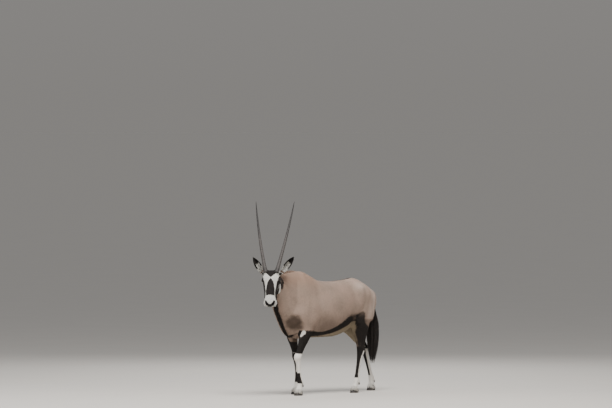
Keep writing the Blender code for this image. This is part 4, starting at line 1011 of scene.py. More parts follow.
    # Painted shade: the chin takes the white in shade.
    onChin = smoothStep(-0.092, -0.104, off) * smoothStep(*marks["chin"], down)
    tone = tone * (1 - onFace) + onFace * (0.47 - 0.37 * onChin)
    earRoot = np.linalg.norm(mirror - marks["earRoot"], axis=1)
    white = np.maximum(white, marks["earRootReach"] - earRoot)
    tone = np.where(earRoot < marks["earRootReach"], 0.47, tone)
    for side in (1, -1):
        share, away, turn, edge = earPlace(points, side)
        isEar = onEar(share, away, 0.13)
        faceIn = (normals @ earFrame(side)[2]) > 0.1
        tip = (share - 0.80) * headParts["earLength"]
        outside = np.maximum(tip, (share - 0.66 + 0.20 * smoothStep(1.0, 1.5, turn)) * 0.10)
        rim = np.minimum(edge + marks["earRim"], (share - 0.36) * 0.10)
        earBlack = np.where(faceIn, np.maximum(tip, rim), np.maximum(outside, rim)) + 0.3 * rough
        black = np.where(isEar, earBlack, black)
        white = np.where(isEar, np.where(faceIn, marks["range"], 0.010), white)
        # Inside the ear the white takes more of the white in shade towards the middle of the cup: painted
        # shade in the hollow.
        tone = np.where(isEar & faceIn, 0.40 + 0.10 * smoothStep(0.3, 1.2, turn), tone)
    bare = np.clip(pad / 0.006, 0, 1) * (face > 0)
    warm = warm * (1 - onFace)
    scale = marks["range"]
    return {
        "dark": np.clip(0.5 + 0.5 * black / scale, 0, 1),
        "pale": np.clip(0.5 + 0.5 * white / scale, 0, 1),
        "tone": np.clip(tone, 0, 1),
        "warm": warm,
        "bare": bare,
    }


# The unwrap: body, head, legs, ears and dock are each rolled out round their own line.
charts = {
    # left, bottom, right, top
    "body": (0.02, 0.02, 0.6, 0.62),
    "head": (0.64, 0.02, 0.98, 0.34),
    "foreleg_left": (0.02, 0.66, 0.23, 0.98),
    "foreleg_right": (0.26, 0.66, 0.47, 0.98),
    "hindleg_left": (0.5, 0.66, 0.7, 0.98),
    "hindleg_right": (0.73, 0.66, 0.92, 0.98),
    "dock": (0.945, 0.66, 0.985, 0.98),
    "earLeftIn": (0.64, 0.38, 0.71, 0.62),
    "earLeftOut": (0.73, 0.38, 0.8, 0.62),
    "earRightIn": (0.82, 0.38, 0.89, 0.62),
    "earRightOut": (0.91, 0.38, 0.98, 0.62),
}
unwrap = {
    "margin": 0.03,
    # along the trunk and neck: y, x and height of the line they are rolled round
    "bodyLine": ((-1.0, 0.11, 1.1), (-0.92, 0.074, 1.05), (-0.86, 0.052, 1.005), (-0.75, 0.024, 0.945),
                 (-0.62, 0.004, 0.88), (-0.45, 0.0, 0.85), (0.1, 0.0, 0.85), (0.6, 0.0, 0.9)),
    "bodySpan": (-1.02, 0.64),
    # the head's line off the face, its chart's start down the face and its length
    "headLine": (-0.08, -0.12, 0.5),
    "headEdge": -0.012,
    "legTops": (0.62, 0.72),
    "legSpan": 0.85,
    "earStart": 0.1,
    # y of the dock's line, reach round it, its top, its front limit
    "dockPlace": (0.592, 0.045, 0.93, 0.555),
    "dockSpan": (0.55, 0.5),
}
chartNames = list(charts)


def chartPlace(points, name):
    # Angle round the chart's line and share of the way along it.
    if name == "body":
        x, z = valueAt(unwrap["bodyLine"], points[:, 1], 1), valueAt(unwrap["bodyLine"], points[:, 1], 2)
        low, high = unwrap["bodySpan"]
        return np.arctan2(points[:, 0] - x, points[:, 2] - z), (points[:, 1] - low) / (high - low)
    if name == "head":
        down, across, off = inHead(points).T
        offset, start, span = unwrap["headLine"]
        return np.arctan2(across, off - offset), (down - start) / span
    if name == "dock":
        low, span = unwrap["dockSpan"]
        return np.arctan2(points[:, 0], points[:, 1] - unwrap["dockPlace"][0]), (points[:, 2] - low) / span
    if name.startswith("ear"):
        root, axis, opening, middleWay = earFrame(1 if "Left" in name else -1)
        return (np.arctan2((points - root) @ middleWay, -((points - root) @ opening)),
                (points - root) @ axis / headParts["earLength"])
    x, y = lineAt(name, points[:, 2], (0, 1))
    return np.arctan2(points[:, 0] - x, points[:, 1] - y), points[:, 2] / unwrap["legSpan"]


def chartOf(points, normals):
    # The chart that each face's middle belongs to.
    chart = np.full(len(points), chartNames.index("body"))
    height, isNear = aboveJaw(inHead(points), headParts["chartStart"])
    chart[(height > unwrap["headEdge"]) & isNear] = chartNames.index("head")
    for name in flesh["legs"]:
        top = unwrap["legTops"][0 if name.startswith("fore") else 1]
        chart[(legPlace(points, name)[2] > 0) & (points[:, 2] < top)] = chartNames.index(name)
    for side, word in ((1, "Left"), (-1, "Right")):
        share, away, *_ = earPlace(points, side)
        isEar = onEar(share, away, unwrap["earStart"])
        inside = normals @ earFrame(side)[2] > 0
        chart[isEar & inside] = chartNames.index("ear" + word + "In")
        chart[isEar & ~inside] = chartNames.index("ear" + word + "Out")
    x, y, z = points.T
    line, reach, top, front = unwrap["dockPlace"]
    chart[(np.hypot(x, y - line) < reach) & (z < top) & (y > front)] = chartNames.index("dock")
    return chart


def skinUnwrap(points, faces):
    # Corner places on the unwrap; a face that crosses the back of its roll keeps to one side of it.
    middles = points[faces].mean(axis=1)
    a, b, c = points[faces[:, 0]], points[faces[:, 1]], points[faces[:, 2]]
    chart = chartOf(middles, unit(np.cross(b - a, c - a)))
    uv = np.zeros((len(faces), 3, 2))
    for index, name in enumerate(chartNames):
        chosen = chart == index
        corners = faces[chosen]
        if len(corners) == 0:
            continue
        turn, share = chartPlace(points[corners.ravel()], name)
        turn = turn.reshape(-1, 3)
        turn -= 2 * math.pi * np.round((turn - turn[:, :1]) / (2 * math.pi))
        left, bottom, right, top = charts[name]
        inner = 1 - 2 * unwrap["margin"]
        uv[chosen, :, 0] = left + (right - left) * (unwrap["margin"] + inner * (turn / (2 * math.pi) + 0.5))
        uv[chosen, :, 1] = bottom + (top - bottom) * np.clip(share.reshape(-1, 3), 0, 1)
    return uv


# Short tufts lie over the whole skin; the rest are longer where the coat breaks the outline.
coat = {
    # name: count, length, half width, lift, droop, steps
    "coatTrunkLeft": (48000, 0.015, 0.0013, 0.09, 0.05, 2),
    "coatTrunkRight": (48000, 0.015, 0.0013, 0.09, 0.05, 2),
    "coatNeck": (34000, 0.014, 0.0012, 0.1, 0.05, 2),
    "coatLegs": (44000, 0.01, 0.0009, 0.11, 0.05, 2),
    "coatHead": (44000, 0.0072, 0.00065, 0.13, 0.06, 2),
    "thickness": 0.2,
    "taper": 1.6,
    "shade": (0.95, 1.09),
    # spread of the lie, of the length, the width and the lift
    "spread": (0.16, (0.75, 1.25), (0.8, 1.2), (0.5, 1.4)),
    # where the neck's piece starts, the eyes' clearance, the legs' lowest tufts
    "neckStart": -0.56,
    "eyeClear": 0.026,
    "legFoot": 0.06,
    # the bare nose: down the face from, half width, off the face from
    "bareNose": (0.303, 0.052, -0.062),
    "earWeight": 1.3,
    # the lie: a direction and the steps that bring it in, one after another
    "lies": (
        ((0.0, 1.0, -0.35),),
        ((-0.05, 0.55, -0.85), ("y", -0.5, -0.7)),
        ((0.0, 0.12, -1.0), ("z", 0.7, 0.58)),
        ((0.0, 1.0, 0.0), ("normalZ", 0.0, -0.8), ("raised", 0.0, 1.0)),
        ((0.0, 0.35, -1.0), ("y", 0.3, 0.5), ("z", 0.6, 0.75)),
    ),
    # height above which a hanging face lies on the belly
    "raised": 0.5,
    # on the face: outwards by the place across it, the half width of that, and inwards
    "faceLie": (0.5, 0.06, -0.35),
    # where an ear's own lie starts along it, and its reach
    "earLie": (0.08, 0.06),
}


def lieOfCoat(points, normals):
    # Back and down on the trunk, down the legs, down the face from the brow, out along the ears.
    x, y, z = points.T
    at = {"y": y, "z": z, "normalZ": normals[:, 2], "raised": z > coat["raised"]}
    lie = np.zeros_like(points)
    for direction, *steps in coat["lies"]:
        share = (shade(at, (1.0, *steps)) * np.ones(len(points)))[:, None]
        lie = lie * (1 - share) + share * np.array(direction)
    place = inHead(points)
    height, isNear = aboveJaw(place, headParts["coatStart"])
    down, left, off = headAxes()
    outwards, half, inwards = coat["faceLie"]
    faceLie = down + outwards * np.clip(place[:, 1:2] / half, -1, 1) * left + inwards * off
    lie = np.where(((height > 0) & isNear)[:, None], faceLie, lie)
    for side in (1, -1):
        share, away, *_ = earPlace(points, side)
        lie = np.where(onEar(share, away, *coat["earLie"])[:, None], earFrame(side)[1], lie)
    return unit(lie - normals * np.einsum("ij,ij->i", lie, normals)[:, None])


def scattered(skinMesh, weight, count, draw):
    # Roots drawn over the skin in proportion to area times weight, by even draws on each triangle.
    points, faces, normals, uv = (skinMesh[key] for key in ("points", "faces", "normals", "uv"))
    a, b, c = points[faces[:, 0]], points[faces[:, 1]], points[faces[:, 2]]
    area = np.linalg.norm(np.cross(b - a, c - a), axis=1) / 2
    total = np.cumsum(area * weight)
    chosen = np.searchsorted(total, draw.uniform(0, total[-1], count))
    chosen = np.clip(chosen, 0, len(faces) - 1)
    root, other = np.sqrt(draw.uniform(size=count)), draw.uniform(size=count)
    share = np.stack([1 - root, root * (1 - other), root * other], axis=1)
    place = np.einsum("ij,ijk->ik", share, points[faces[chosen]])
    normal = unit(np.einsum("ij,ijk->ik", share, normals[faces[chosen]]))
    return place, normal, np.einsum("ij,ijk->ik", share, uv[chosen])


def hairMesh(name, path, across, out, widths, thickness, uv, fields, material):
    # Each hair carries a flat triangle section along its path to one tip; path is (hairs, steps, 3).
    count, steps = path.shape[:2]
    wide = widths[..., None] * across[:, None, :] if across.ndim == 2 else widths[..., None] * across
    deep = thickness[..., None] * (out[:, None, :] if out.ndim == 2 else out)
    rings = np.stack([path - wide, path + wide, path + deep], axis=2)[:, :-1]
    perHair = (steps - 1) * 3 + 1
    points = np.concatenate([rings.reshape(count, -1, 3), path[:, -1:]], axis=1).reshape(-1, 3)
    faces = [(0, 1, 2)]
    for i in range(steps - 2):
        low, high = 3 * i, 3 * i + 3
        for j in range(3):
            k = (j + 1) % 3
            faces += [(low + j, high + k, low + k), (low + j, high + j, high + k)]
    last = 3 * (steps - 2)
    faces += [(last + j, perHair - 1, last + (j + 1) % 3) for j in range(3)]
    faces = np.array(faces)
    sample = points.reshape(count, perHair, 3)
    a, b, c = (sample[:, faces[:, k]] for k in range(3))
    middle = sample.mean(axis=1, keepdims=True)
    volume = np.einsum("ijk,ijk->i", a - middle, np.cross(b - middle, c - middle))
    allFaces = faces[None] + perHair * np.arange(count)[:, None, None]
    allFaces = np.where((volume < 0)[:, None, None], allFaces[:, :, ::-1], allFaces).reshape(-1, 3)
    local = np.zeros((perHair, 2))
    local[:-1, 0] = np.tile((0.0, 1.0, 0.5), steps - 1) - 0.5
    local[:-1, 1] = np.repeat(np.arange(steps - 1) / (steps - 1), 3) - 0.5
    local[-1] = (0.0, 0.5)
    pointUv = (uv[:, None, :] + 0.003 * local[None]).reshape(-1, 2)
    values = {key: np.repeat(value, perHair) for key, value in fields.items()}
    tipward = np.concatenate([np.repeat(np.arange(steps - 1) / (steps - 1), 3), [1.0]])
    values["tipward"] = np.tile(tipward, count)
    thing = makeObject(name, toModel(points), allFaces, pointUv[allFaces.ravel()], values)
    if steps == 2:
        thing.data.shade_flat()
    thing.data.materials.append(material)
    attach(thing, "root")
    report(f"{name}, {len(allFaces)} triangles")
    return thing


def bentPaths(root, normal, lie, length, lift, droop, steps):
    # root + lie L t + normal (lift t - droop t^2) L, sunk a little at the root.
    t = np.linspace(0, 1, steps)[None, :, None]
    length = np.broadcast_to(length, len(root))[:, None, None]
    lift = np.broadcast_to(lift, len(root))[:, None, None]
    droop = np.broadcast_to(droop, len(root))[:, None, None]
    return (root[:, None] + lie[:, None] * length * t
            + normal[:, None] * (length * (lift * t - droop * t * t) - 0.0012 * (1 - t)))


def toModel(points):
    # p + shift, from the animal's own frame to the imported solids.
    return points + modelShift


eyeLow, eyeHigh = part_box("eye_left")
modelShift = (np.array(eyeLow) + np.array(eyeHigh)) / 2 - eyeFrame(1)[0]
modelShift[2] = 0.0


class Sock:
    # One shader value, so that sums and products of it add their own Math nodes.
    def __init__(self, tree, socket):
        self.tree = tree
        self.socket = socket

    def math(self, operation, *others, **settings):
        return node(self.tree, "ShaderNodeMath", {"operation": operation, **settings}, (self, *others))

    def __add__(self, other):
        return self.math("ADD", other)

    def __sub__(self, other):
        return self.math("SUBTRACT", other)

    def __mul__(self, other):
        return self.math("MULTIPLY", other)

    def __rsub__(self, other):
        return node(self.tree, "ShaderNodeMath", {"operation": "SUBTRACT"}, (other, self))

    __radd__ = __add__
    __rmul__ = __mul__

    def clamped(self):
        # The value held between 0 and 1.
        return self.math("ADD", 0.0, use_clamp=True)

    def steep(self, middle, softness):
        # 0 below the middle, 1 above it, over the softness.
        return ((self - (middle - softness / 2)) * (1 / softness)).clamped()


def node(tree, kind, settings=None, values=(), output=0, **named):
    # Settings first, then the sockets' values or links, in order or by name.
    made = tree.nodes.new(kind)
    for key, value in (settings or {}).items():
        setattr(made, key, value)
    for key, value in [*enumerate(values), *named.items()]:
        if value is None:
            continue
        socket = made.inputs[key]
        if isinstance(value, Sock):
            tree.links.new(value.socket, socket)
        else:
            socket.default_value = value
    return Sock(tree, made.outputs[output])


def mixed(tree, factor, a, b):
    # a + factor (b - a); the node's colours are its sockets 6 and 7, and its colour output is 2.
    a, b = (colour if isinstance(colour, Sock) else (*colour, 1.0) for colour in (a, b))
    return node(tree, "ShaderNodeMix", {"data_type": "RGBA"}, (factor, *[None] * 5, a, b), output=2)


class Finish:
    # A material's tree with its shader, and short ways to its usual nodes.
    def __init__(self, name, **constants):
        self.material = bpy.data.materials.new(name)
        self.material.use_nodes = True
        self.tree = self.material.node_tree
        self.shader = self.tree.nodes["Principled BSDF"]
        for key, value in constants.items():
            self.shader.inputs[key.replace("_", " ")].default_value = value

    def node(self, kind, settings=None, values=(), output=0, **named):
        return node(self.tree, kind, settings, values, output, **named)

    def place(self):
        return self.node("ShaderNodeTexCoord", output="Object")

    def field(self, name):
        return self.node("ShaderNodeAttribute", {"attribute_name": name}, output="Fac")

    def stretched(self, place, scale):
        return self.node("ShaderNodeMapping", values=(place, None, None, scale))

    def noise(self, place, scale, detail=3.0, roughness=0.55):
        return self.node("ShaderNodeTexNoise", Vector=place, Scale=scale, Detail=detail, Roughness=roughness)

    def mix(self, factor, a, b):
        return mixed(self.tree, factor, a, b)

    def bump(self, height, strength, distance):
        return self.node("ShaderNodeBump", Strength=strength, Distance=distance, Height=height)

    def put(self, **links):
        for key, value in links.items():
            self.tree.links.new(value.socket, self.shader.inputs[key.replace("_", " ")])
        return self.material


# fawnDark carries painted shade on the breast, the lower flank and the far foreleg as well as the coat's own
# dark brown by the thigh patch; fawnLight carries painted highlights on the hip and the rear of the thigh as
# well as lighter coat; whiteInShade is the white hair with painted shade, whiteLit the white hair with a
# painted highlight
hairColours = {
    "fawn": (0.285, 0.212, 0.17),
    "fawnLight": (0.43, 0.345, 0.295),
    "fawnDark": (0.08, 0.057, 0.044),
    "pinkish": (0.315, 0.212, 0.168),
    "white": (0.55, 0.54, 0.51),
    "whiteLit": (0.74, 0.71, 0.66),
    "whiteInShade": (0.21, 0.17, 0.118),
    "warm": (0.275, 0.18, 0.132),
    "black": (0.013, 0.0122, 0.012),
    "brownBlack": (0.026, 0.02, 0.017),
    "bare": (0.012, 0.011, 0.012),
}


def coatFinish(name, isHair):
    # Fawn by lightness, then white and black where their fields pass the middle, with ragged edges. Low
    # lightness brings dark fawn and the white in painted shade, high lightness light fawn and the lit white,
    # so painted light and shade ride on the lightness with the coat's own tone.
    finish = Finish(name, Roughness=0.80, Specular_IOR_Level=0.08)
    place = finish.place()
    dark, pale, tone = (finish.field(key) for key in ("dark", "pale", "tone"))
    fine = finish.noise(place, 420.0, 2.0)
    middling = finish.noise(place, 60.0, 3.0)
    broad = finish.noise(place, 7.0, 3.0)
    ragged = (fine - 0.5) * 0.10 + (middling - 0.5) * 0.12
    lightness = (tone + (middling - 0.5) * 0.20 + (broad - 0.5) * 0.28).clamped()
    colour = finish.mix(lightness.steep(0.28, 0.5), hairColours["fawnDark"], hairColours["fawn"])
    colour = finish.mix((lightness - 0.5).steep(0.2, 0.4), colour, hairColours["fawnLight"])
    colour = finish.mix(broad.steep(0.56, 0.3) * tone.steep(0.40, 0.2) * 0.5, colour, hairColours["pinkish"])
    colour = finish.mix(finish.field("warm") * 0.75 * tone.steep(0.35, 0.3), colour, hairColours["warm"])
    whiteness = finish.mix(tone.steep(0.35, 0.3), hairColours["whiteInShade"], hairColours["white"])
    whiteness = finish.mix(tone.steep(0.64, 0.1), whiteness, hairColours["whiteLit"])
    colour = finish.mix((pale + ragged).steep(0.52, 0.12), colour, whiteness)
    deep = finish.mix(middling.steep(0.55, 0.4) * 0.7, hairColours["black"], hairColours["brownBlack"])
    colour = finish.mix((dark + ragged).steep(0.5, 0.09), colour, deep)
    if isHair:
        shade = finish.field("shade") + finish.field("tipward") * 0.08
        colour = finish.node("ShaderNodeHueSaturation", Value=shade, Color=colour)
        return finish.put(Base_Color=colour)
    bare = finish.field("bare")
    colour = finish.mix(bare, colour, hairColours["bare"])
    backward = finish.noise(finish.stretched(place, (260.0, 60.0, 110.0)), 1.0, 4.0, 0.6)
    downward = finish.noise(finish.stretched(place, (300.0, 300.0, 60.0)), 1.0, 4.0, 0.6)
    pebbles = finish.node("ShaderNodeTexVoronoi", {"feature": "F1"}, Vector=place, Scale=520.0)
    shading = (backward + downward) * 0.5
    colour = finish.node("ShaderNodeHueSaturation", Value=0.80 + shading * 0.36, Color=colour)
    hairs = finish.bump(shading * (1.0 - bare) + pebbles * bare * 0.5, 0.55, 0.0016)
    roughness = 0.82 - bare * 0.42
    return finish.put(Base_Color=colour, Normal=hairs, Roughness=roughness)


skinFinish = coatFinish("shortCoat", False)
hairFinish = coatFinish("coatHair", True)

points, faces, edges = buildSkin()
depth = look["coatDepth"] * smoothStep(0.0, look["coatFull"], points[:, 2])
points = points - pointNormals(points, faces) * depth[:, None]
normals = pointNormals(points, faces)
skinMesh = {"points": points, "faces": faces, "normals": normals, "uv": skinUnwrap(points, faces)}
skin = makeObject("skin", toModel(points), faces, skinMesh["uv"].reshape(-1, 2), coatMarks(points, normals))
skin.data.materials.append(skinFinish)
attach(skin, "root")
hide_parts("torso", "neck", "head", "ear_left", "ear_right", *flesh["legs"], "tail")
report(f"skin, {len(faces)} triangles")


def faceWeights():
    # How much of each kind of tuft every triangle carries.
    middle = points[faces].mean(axis=1)
    a, b, c = points[faces[:, 0]], points[faces[:, 1]], points[faces[:, 2]]
    normal = unit(np.cross(b - a, c - a))
    chart = chartOf(middle, normal)
    body, head, firstLeg, lastLeg, firstEar = map(
        chartNames.index, ("body", "head", "foreleg_left", "hindleg_right", "earLeftIn"))
    onBody, onLeg = chart == body, (chart >= firstLeg) & (chart <= lastLeg)
    neck = onBody & (middle[:, 1] < coat["neckStart"])
    fromEye = np.min([np.linalg.norm(middle - eyeFrame(side)[0], axis=1) for side in (1, -1)], axis=0)
    down, across, off = inHead(middle).T
    start, half, lowest = coat["bareNose"]
    bare = (down > start) & (np.abs(across) < half) & (off > lowest)
    clear = (fromEye > coat["eyeClear"]) & ~bare
    return middle, normal, {
        "coatTrunkLeft": (onBody & ~neck) * (middle[:, 0] > 0) * 1.0,
        "coatTrunkRight": (onBody & ~neck) * (middle[:, 0] <= 0) * 1.0,
        "coatNeck": neck * 1.0,
        "coatLegs": onLeg * (middle[:, 2] > coat["legFoot"]) * 1.0,
        "coatHead": ((chart == head) & clear) * 1.0 + (chart >= firstEar) * coat["earWeight"],
    }


def hairPiece(name, table, weight):
    # Bent tufts drawn over the skin, as wide as 1 - t^taper, with the coat's marks where they stand.
    count, length, halfWidth, lift, droop, steps = table[name]
    sway, sizes, widths, lifts = table["spread"]
    place, normal, uv = scattered(skinMesh, weight, count, draw)
    lie = lieOfCoat(place, normal)
    if name == "mane":
        lie = unit(np.array(table["maneLie"]) + draw.normal(0, table["maneStray"], (count, 3)))
    else:
        lie = unit(lie + np.cross(normal, lie) * draw.normal(0, sway, count)[:, None])
    size = draw.uniform(*sizes, count)
    if name == "mane":
        shortest, more = table["maneLength"]
        size = size * (shortest + more * maneFade(place[:, 1]))
    if name == "fringeFeet":
        size = np.minimum(size, (place[:, 2] - table["footClear"]) / length)
    taper = 1 - np.linspace(0, 1, steps) ** coat["taper"]
    wide = (halfWidth * draw.uniform(*widths, count))[:, None] * taper
    path = bentPaths(place, normal, lie, length * size, lift * draw.uniform(*lifts, count), droop, steps)
    fields = coatMarks(place, normal)
    fields["shade"] = draw.uniform(*coat["shade"], count)
    hairMesh(name, path, np.cross(normal, lie), normal, wide, wide * coat["thickness"], uv, fields,
             hairFinish)


middle, faceNormal, weights = faceWeights()
draw = np.random.default_rng(look["seed"])
for name, weight in weights.items():
    hairPiece(name, coat, weight)


# The hooves: two claws and two dewclaws a foot.
hooves = {
    # height, reach in front, reach behind, half width outwards, half width inwards
    "profile": (
        (0.0, 0.0555, 0.0295, 0.0175, 0.0132), (0.003, 0.057, 0.0315, 0.0185, 0.014),
        (0.01, 0.054, 0.033, 0.0185, 0.014), (0.03, 0.043, 0.034, 0.018, 0.014),
        (0.07, 0.022, 0.033, 0.017, 0.014),
    ),
    "height": 0.048,
    "cleft": 0.003,
    "slope": 24.0,
    # how far the outer side curves in towards the toe, and how sharply
    "point": (0.45, 1.8),
    "rows": 26,
    "sides": 40,
    "power": 2.4,
    # height of the growth rings and their waves along the hoof
    "ripple": (0.00022, 1500.0),
    "dewclaw": (0.015, 0.025, -0.028),
    "dewclawRadii": (0.0085, 0.009, 0.014),
    "dewclawTilt": 25.0,
}


# Longer hair: the mane, the throat, brisket, belly line, elbows, thighs, ear rims, chin and coronets.
fringes = {
    # name: count, length, half width, lift, droop, steps
    "mane": (2600, 0.026, 0.0011, 0.45, 0.25, 5),
    "fringeBody": (9000, 0.026, 0.0011, 0.3, 0.2, 4),
    "fringeEars": (2600, 0.013, 0.0006, 0.28, 0.12, 4),
    "fringeFeet": (9500, 0.04, 0.0011, 0.17, 0.14, 4),
    "spread": (0.22, (0.6, 1.2), (0.8, 1.2), (0.5, 1.2)),
    # the mane's lie and how far it strays, its length at its ends and what it gains, its reach
    "maneLie": (0.0, 0.9, 0.18),
    "maneStray": 0.14,
    "maneLength": (0.35, 0.65),
    "maneReach": 0.012,
    "throatReach": 0.022,
    # the foot's hairs end this high above the floor at least
    "footClear": 0.009,
    # weight, reach from the middle, steepest normal, lowest, highest, reach along the trunk
    "belly": (0.8, 0.05, -0.6, 0.5, 0.64, 0.62),
    # lines at the elbow, the thigh, the flank's fold and under the tail, and their reach
    "edges": (((0.155, -0.46, 0.66), (0.15, -0.4, 0.6)), ((0.1, 0.44, 0.8), (0.125, 0.42, 0.62)),
              ((0.19, 0.08, 0.72), (0.18, 0.14, 0.66)), ((0.02, 0.56, 0.9), (0.05, 0.53, 0.8))),
    "edgeReach": 0.03,
    "rightShift": 0.045,
    # weight, place in the head and reach each way
    "chin": (1.2, (0.298, 0.0, -0.105), (0.03, 0.03, 0.012)),
    # where the ears' hair starts; weight and step of rim, inside and root
    "earStart": 0.02,
    "ear": ((0.7, 1.0, 1.5), (0.5, 0.75, 0.2), (1.2, 0.25, 0.05)),
    # from the fetlock, and its reach
    "fetlock": ((0, 0.028, -0.01), 0.022),
    # weight, the steps above the coronet, how far below it
    "coronet": (2.2, 0.034, 0.014, -0.004),
}


def maneFade(y):
    # 1 along the crest, falling to 0 behind the ears and on the withers.
    return smoothStep(-0.965, -0.90, y) * smoothStep(-0.50, -0.64, y)


def nearness(gap, reach):
    # exp(-(gap / reach)^2)
    return np.exp(-(gap / reach) ** 2)


def bodyFringe():
    # Nearness to the throat's line, the belly's middle, the lines of the edges and the chin.
    x, y, z = middle.T
    weight, reach, steepest, low, high, span = fringes["belly"]
    belly = nearness(x, reach) * (faceNormal[:, 2] < steepest) * (z > low) * (z < high) * (np.abs(y) < span)
    body = nearness(np.clip(-strip(middle, marks["throat"], 0.0), 0, 1), fringes["throatReach"])
    body = body + weight * belly
    for start, end in fringes["edges"]:
        for side in (1, -1):
            flip, shift = np.array((side, 1, 1)), np.array((0.0, fringes["rightShift"] * (side < 0), 0.0))
            body += nearness(distanceToSegment(middle, start * flip + shift, end * flip + shift)[0],
                             fringes["edgeReach"])
    weight, place, reach = fringes["chin"]
    return body + weight * np.exp(-(((inHead(middle) - place) / reach) ** 2).sum(axis=1))


def earFringe():
    # More hair at the ears' edges, low inside them and at their roots.
    ears = np.zeros(len(middle))
    rim, inner, root = fringes["ear"]
    for side in (1, -1):
        share, away, turn, _ = earPlace(middle, side)
        inside = faceNormal @ earFrame(side)[2] > 0
        weights = (rim[0] * smoothStep(*rim[1:], turn) + inner[0] * inside * smoothStep(*inner[1:], share)
                   + root[0] * smoothStep(*root[1:], share))
        ears += onEar(share, away, fringes["earStart"]) * weights
    return ears


def footFringe():
    # Nearness to the tuft behind each fetlock, and a band over the coronet's slope.
    feet = np.zeros(len(middle))
    offset, reach = fringes["fetlock"]
    weight, start, full, lowest = fringes["coronet"]
    slope = math.tan(math.radians(hooves["slope"]))
    for name, joints in flesh["legs"].items():
        feet += nearness(np.linalg.norm(middle - np.add(joints["fetlock"], offset), axis=1), reach)
        above = middle[:, 2] - hooves["height"] - slope * (joints["coronet"][1] - middle[:, 1])
        inside = legPlace(middle, name)[2] > 0
        feet += weight * inside * smoothStep(start, full, above) * (above > lowest)
    return feet


def maneWeight():
    # Nearness to the crest's line, faded at its ends.
    crest = np.asarray([(row[4], row[0], row[1]) for row in flesh["neck"]][1:])
    return nearness(np.clip(-strip(middle, crest, 0.0), 0, 1), fringes["maneReach"]) * maneFade(middle[:, 1])


for name, weigh in (("mane", maneWeight), ("fringeBody", bodyFringe), ("fringeEars", earFringe),
                    ("fringeFeet", footFringe)):
    hairPiece(name, fringes, weigh())


# The tail: strands gather in locks that swell to the brush's outline and hang to its tip.
brush = {
    "locks": 70,
    "perLock": 48,
    "y": 0.592,
    "top": (0.835, 0.6),
    "tip": 0.262,
    "tipSpread": 0.13,
    "layers": (0.6, 0.98),
    "outline": ((0.255, 0.024), (0.34, 0.042), (0.42, 0.054), (0.52, 0.06), (0.66, 0.057),
                (0.76, 0.046), (0.83, 0.028)),
    "steps": 10,
    "halfWidth": 0.00085,
    # a lock's radius and the part of it that closes towards the tip, the strands' wave
    "lock": (0.0085, 0.72),
    "wave": 0.0016,
    # share of the width that a strand is thick, and the strands' lightness
    "thickness": 0.6,
    "shade": (1.6, 3.2),
    "goldenTurn": 2.39996,
}


def tailBrush():
    # Guide g: angle a_g + drift t, height top - (top - tip) t, reach outline(height) * layer; strands
    # keep a seeded place round their guide that closes towards the tip.
    count = brush["locks"]
    t = np.linspace(0, 1, brush["steps"])
    share = (np.arange(count) + 0.5) / count
    top = brush["top"][0] - share * (brush["top"][0] - brush["top"][1])
    tip = brush["tip"] + brush["tipSpread"] * (1 - share) * draw.uniform(0.0, 1.0, count)
    inner, outer = brush["layers"]
    layer = outer - (outer - inner) * (np.arange(count) % 4) / 3
    turn = np.arange(count) * brush["goldenTurn"] + draw.uniform(-0.25, 0.25, count)
    drift = draw.uniform(-0.35, 0.35, count)
    z = top[:, None] + (tip - top)[:, None] * t
    swell = np.minimum(1.0, 0.50 + 2.0 * t) * (1 - 0.15 * t ** 3)
    reach = valueAt(brush["outline"], z) * layer[:, None] * swell
    angle = turn[:, None] + drift[:, None] * t
    guide = np.stack([np.cos(angle) * reach, brush["y"] + np.sin(angle) * reach, z], axis=-1)
    per = brush["perLock"]
    guide = np.repeat(guide, per, axis=0)
    total = len(guide)
    radius, closing = brush["lock"]
    spread = radius * np.sqrt(draw.uniform(size=total))[:, None] * (1.0 - closing * t ** 1.5)[None]
    around = draw.uniform(0, 2 * math.pi, total)[:, None] + draw.normal(0, 0.5, total)[:, None] * t
    wave = brush["wave"] * np.sin(9 * t[None] + draw.uniform(0, 6.28, total)[:, None]) * t[None]
    path = guide + np.stack([np.cos(around) * spread + wave, np.sin(around) * spread, 0 * spread], axis=-1)
    short = draw.uniform(0.84, 1.0, total)
    path = path[:, :1] + (path - path[:, :1]) * short[:, None, None]
    tangent = unit(np.gradient(path, axis=1))
    out = unit(np.stack([np.cos(angle), np.sin(angle), 0 * angle], axis=-1).repeat(per, axis=0))
    out = unit(out - tangent * np.einsum("ijk,ijk->ij", out, tangent)[..., None])
    across = np.cross(out, tangent)
    taper = 1 - t ** 2.2
    wide = brush["halfWidth"] * draw.uniform(0.7, 1.3, total)[:, None] * taper
    root = path[:, 0]
    turnUv, shareUv = chartPlace(root, "dock")
    left, bottom, right, topUv = charts["dock"]
    uv = np.stack([left + (right - left) * (0.06 + 0.88 * (turnUv / (2 * math.pi) + 0.5)),
                   bottom + (topUv - bottom) * np.clip(shareUv, 0.02, 0.98)], axis=1)
    fields = {"dark": np.full(total, 1.0), "pale": np.zeros(total), "tone": np.full(total, 0.5),
              "shade": draw.uniform(*brush["shade"], total)}
    piece = hairMesh("tailBrush", path, across, out, wide, wide * brush["thickness"], uv, fields,
                     hairFinish)
    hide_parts("tail")


tailBrush()


# The horns: rings over the lower half, smooth and sharp above.
horns = {
    "radius": 0.0215,
    "root": (-0.008, 0.0555, -0.012),
    "tipSpread": 0.1875,
    "rise": 0.665,
    "back": 0.529,
    "bow": 0.016,
    "taper": 0.5,
    # share of the radius that is left to the flare at the root, and how far up it reaches
    "flare": (0.25, 0.08),
    "sunk": 0.02,
    "ringed": (0.03, 0.55),
    "rings": 25,
    "ridge": 0.0013,
    "grain": 0.00018,
    "leastRadius": 0.0009,
    "steps": 460,
    "sides": 30,
}


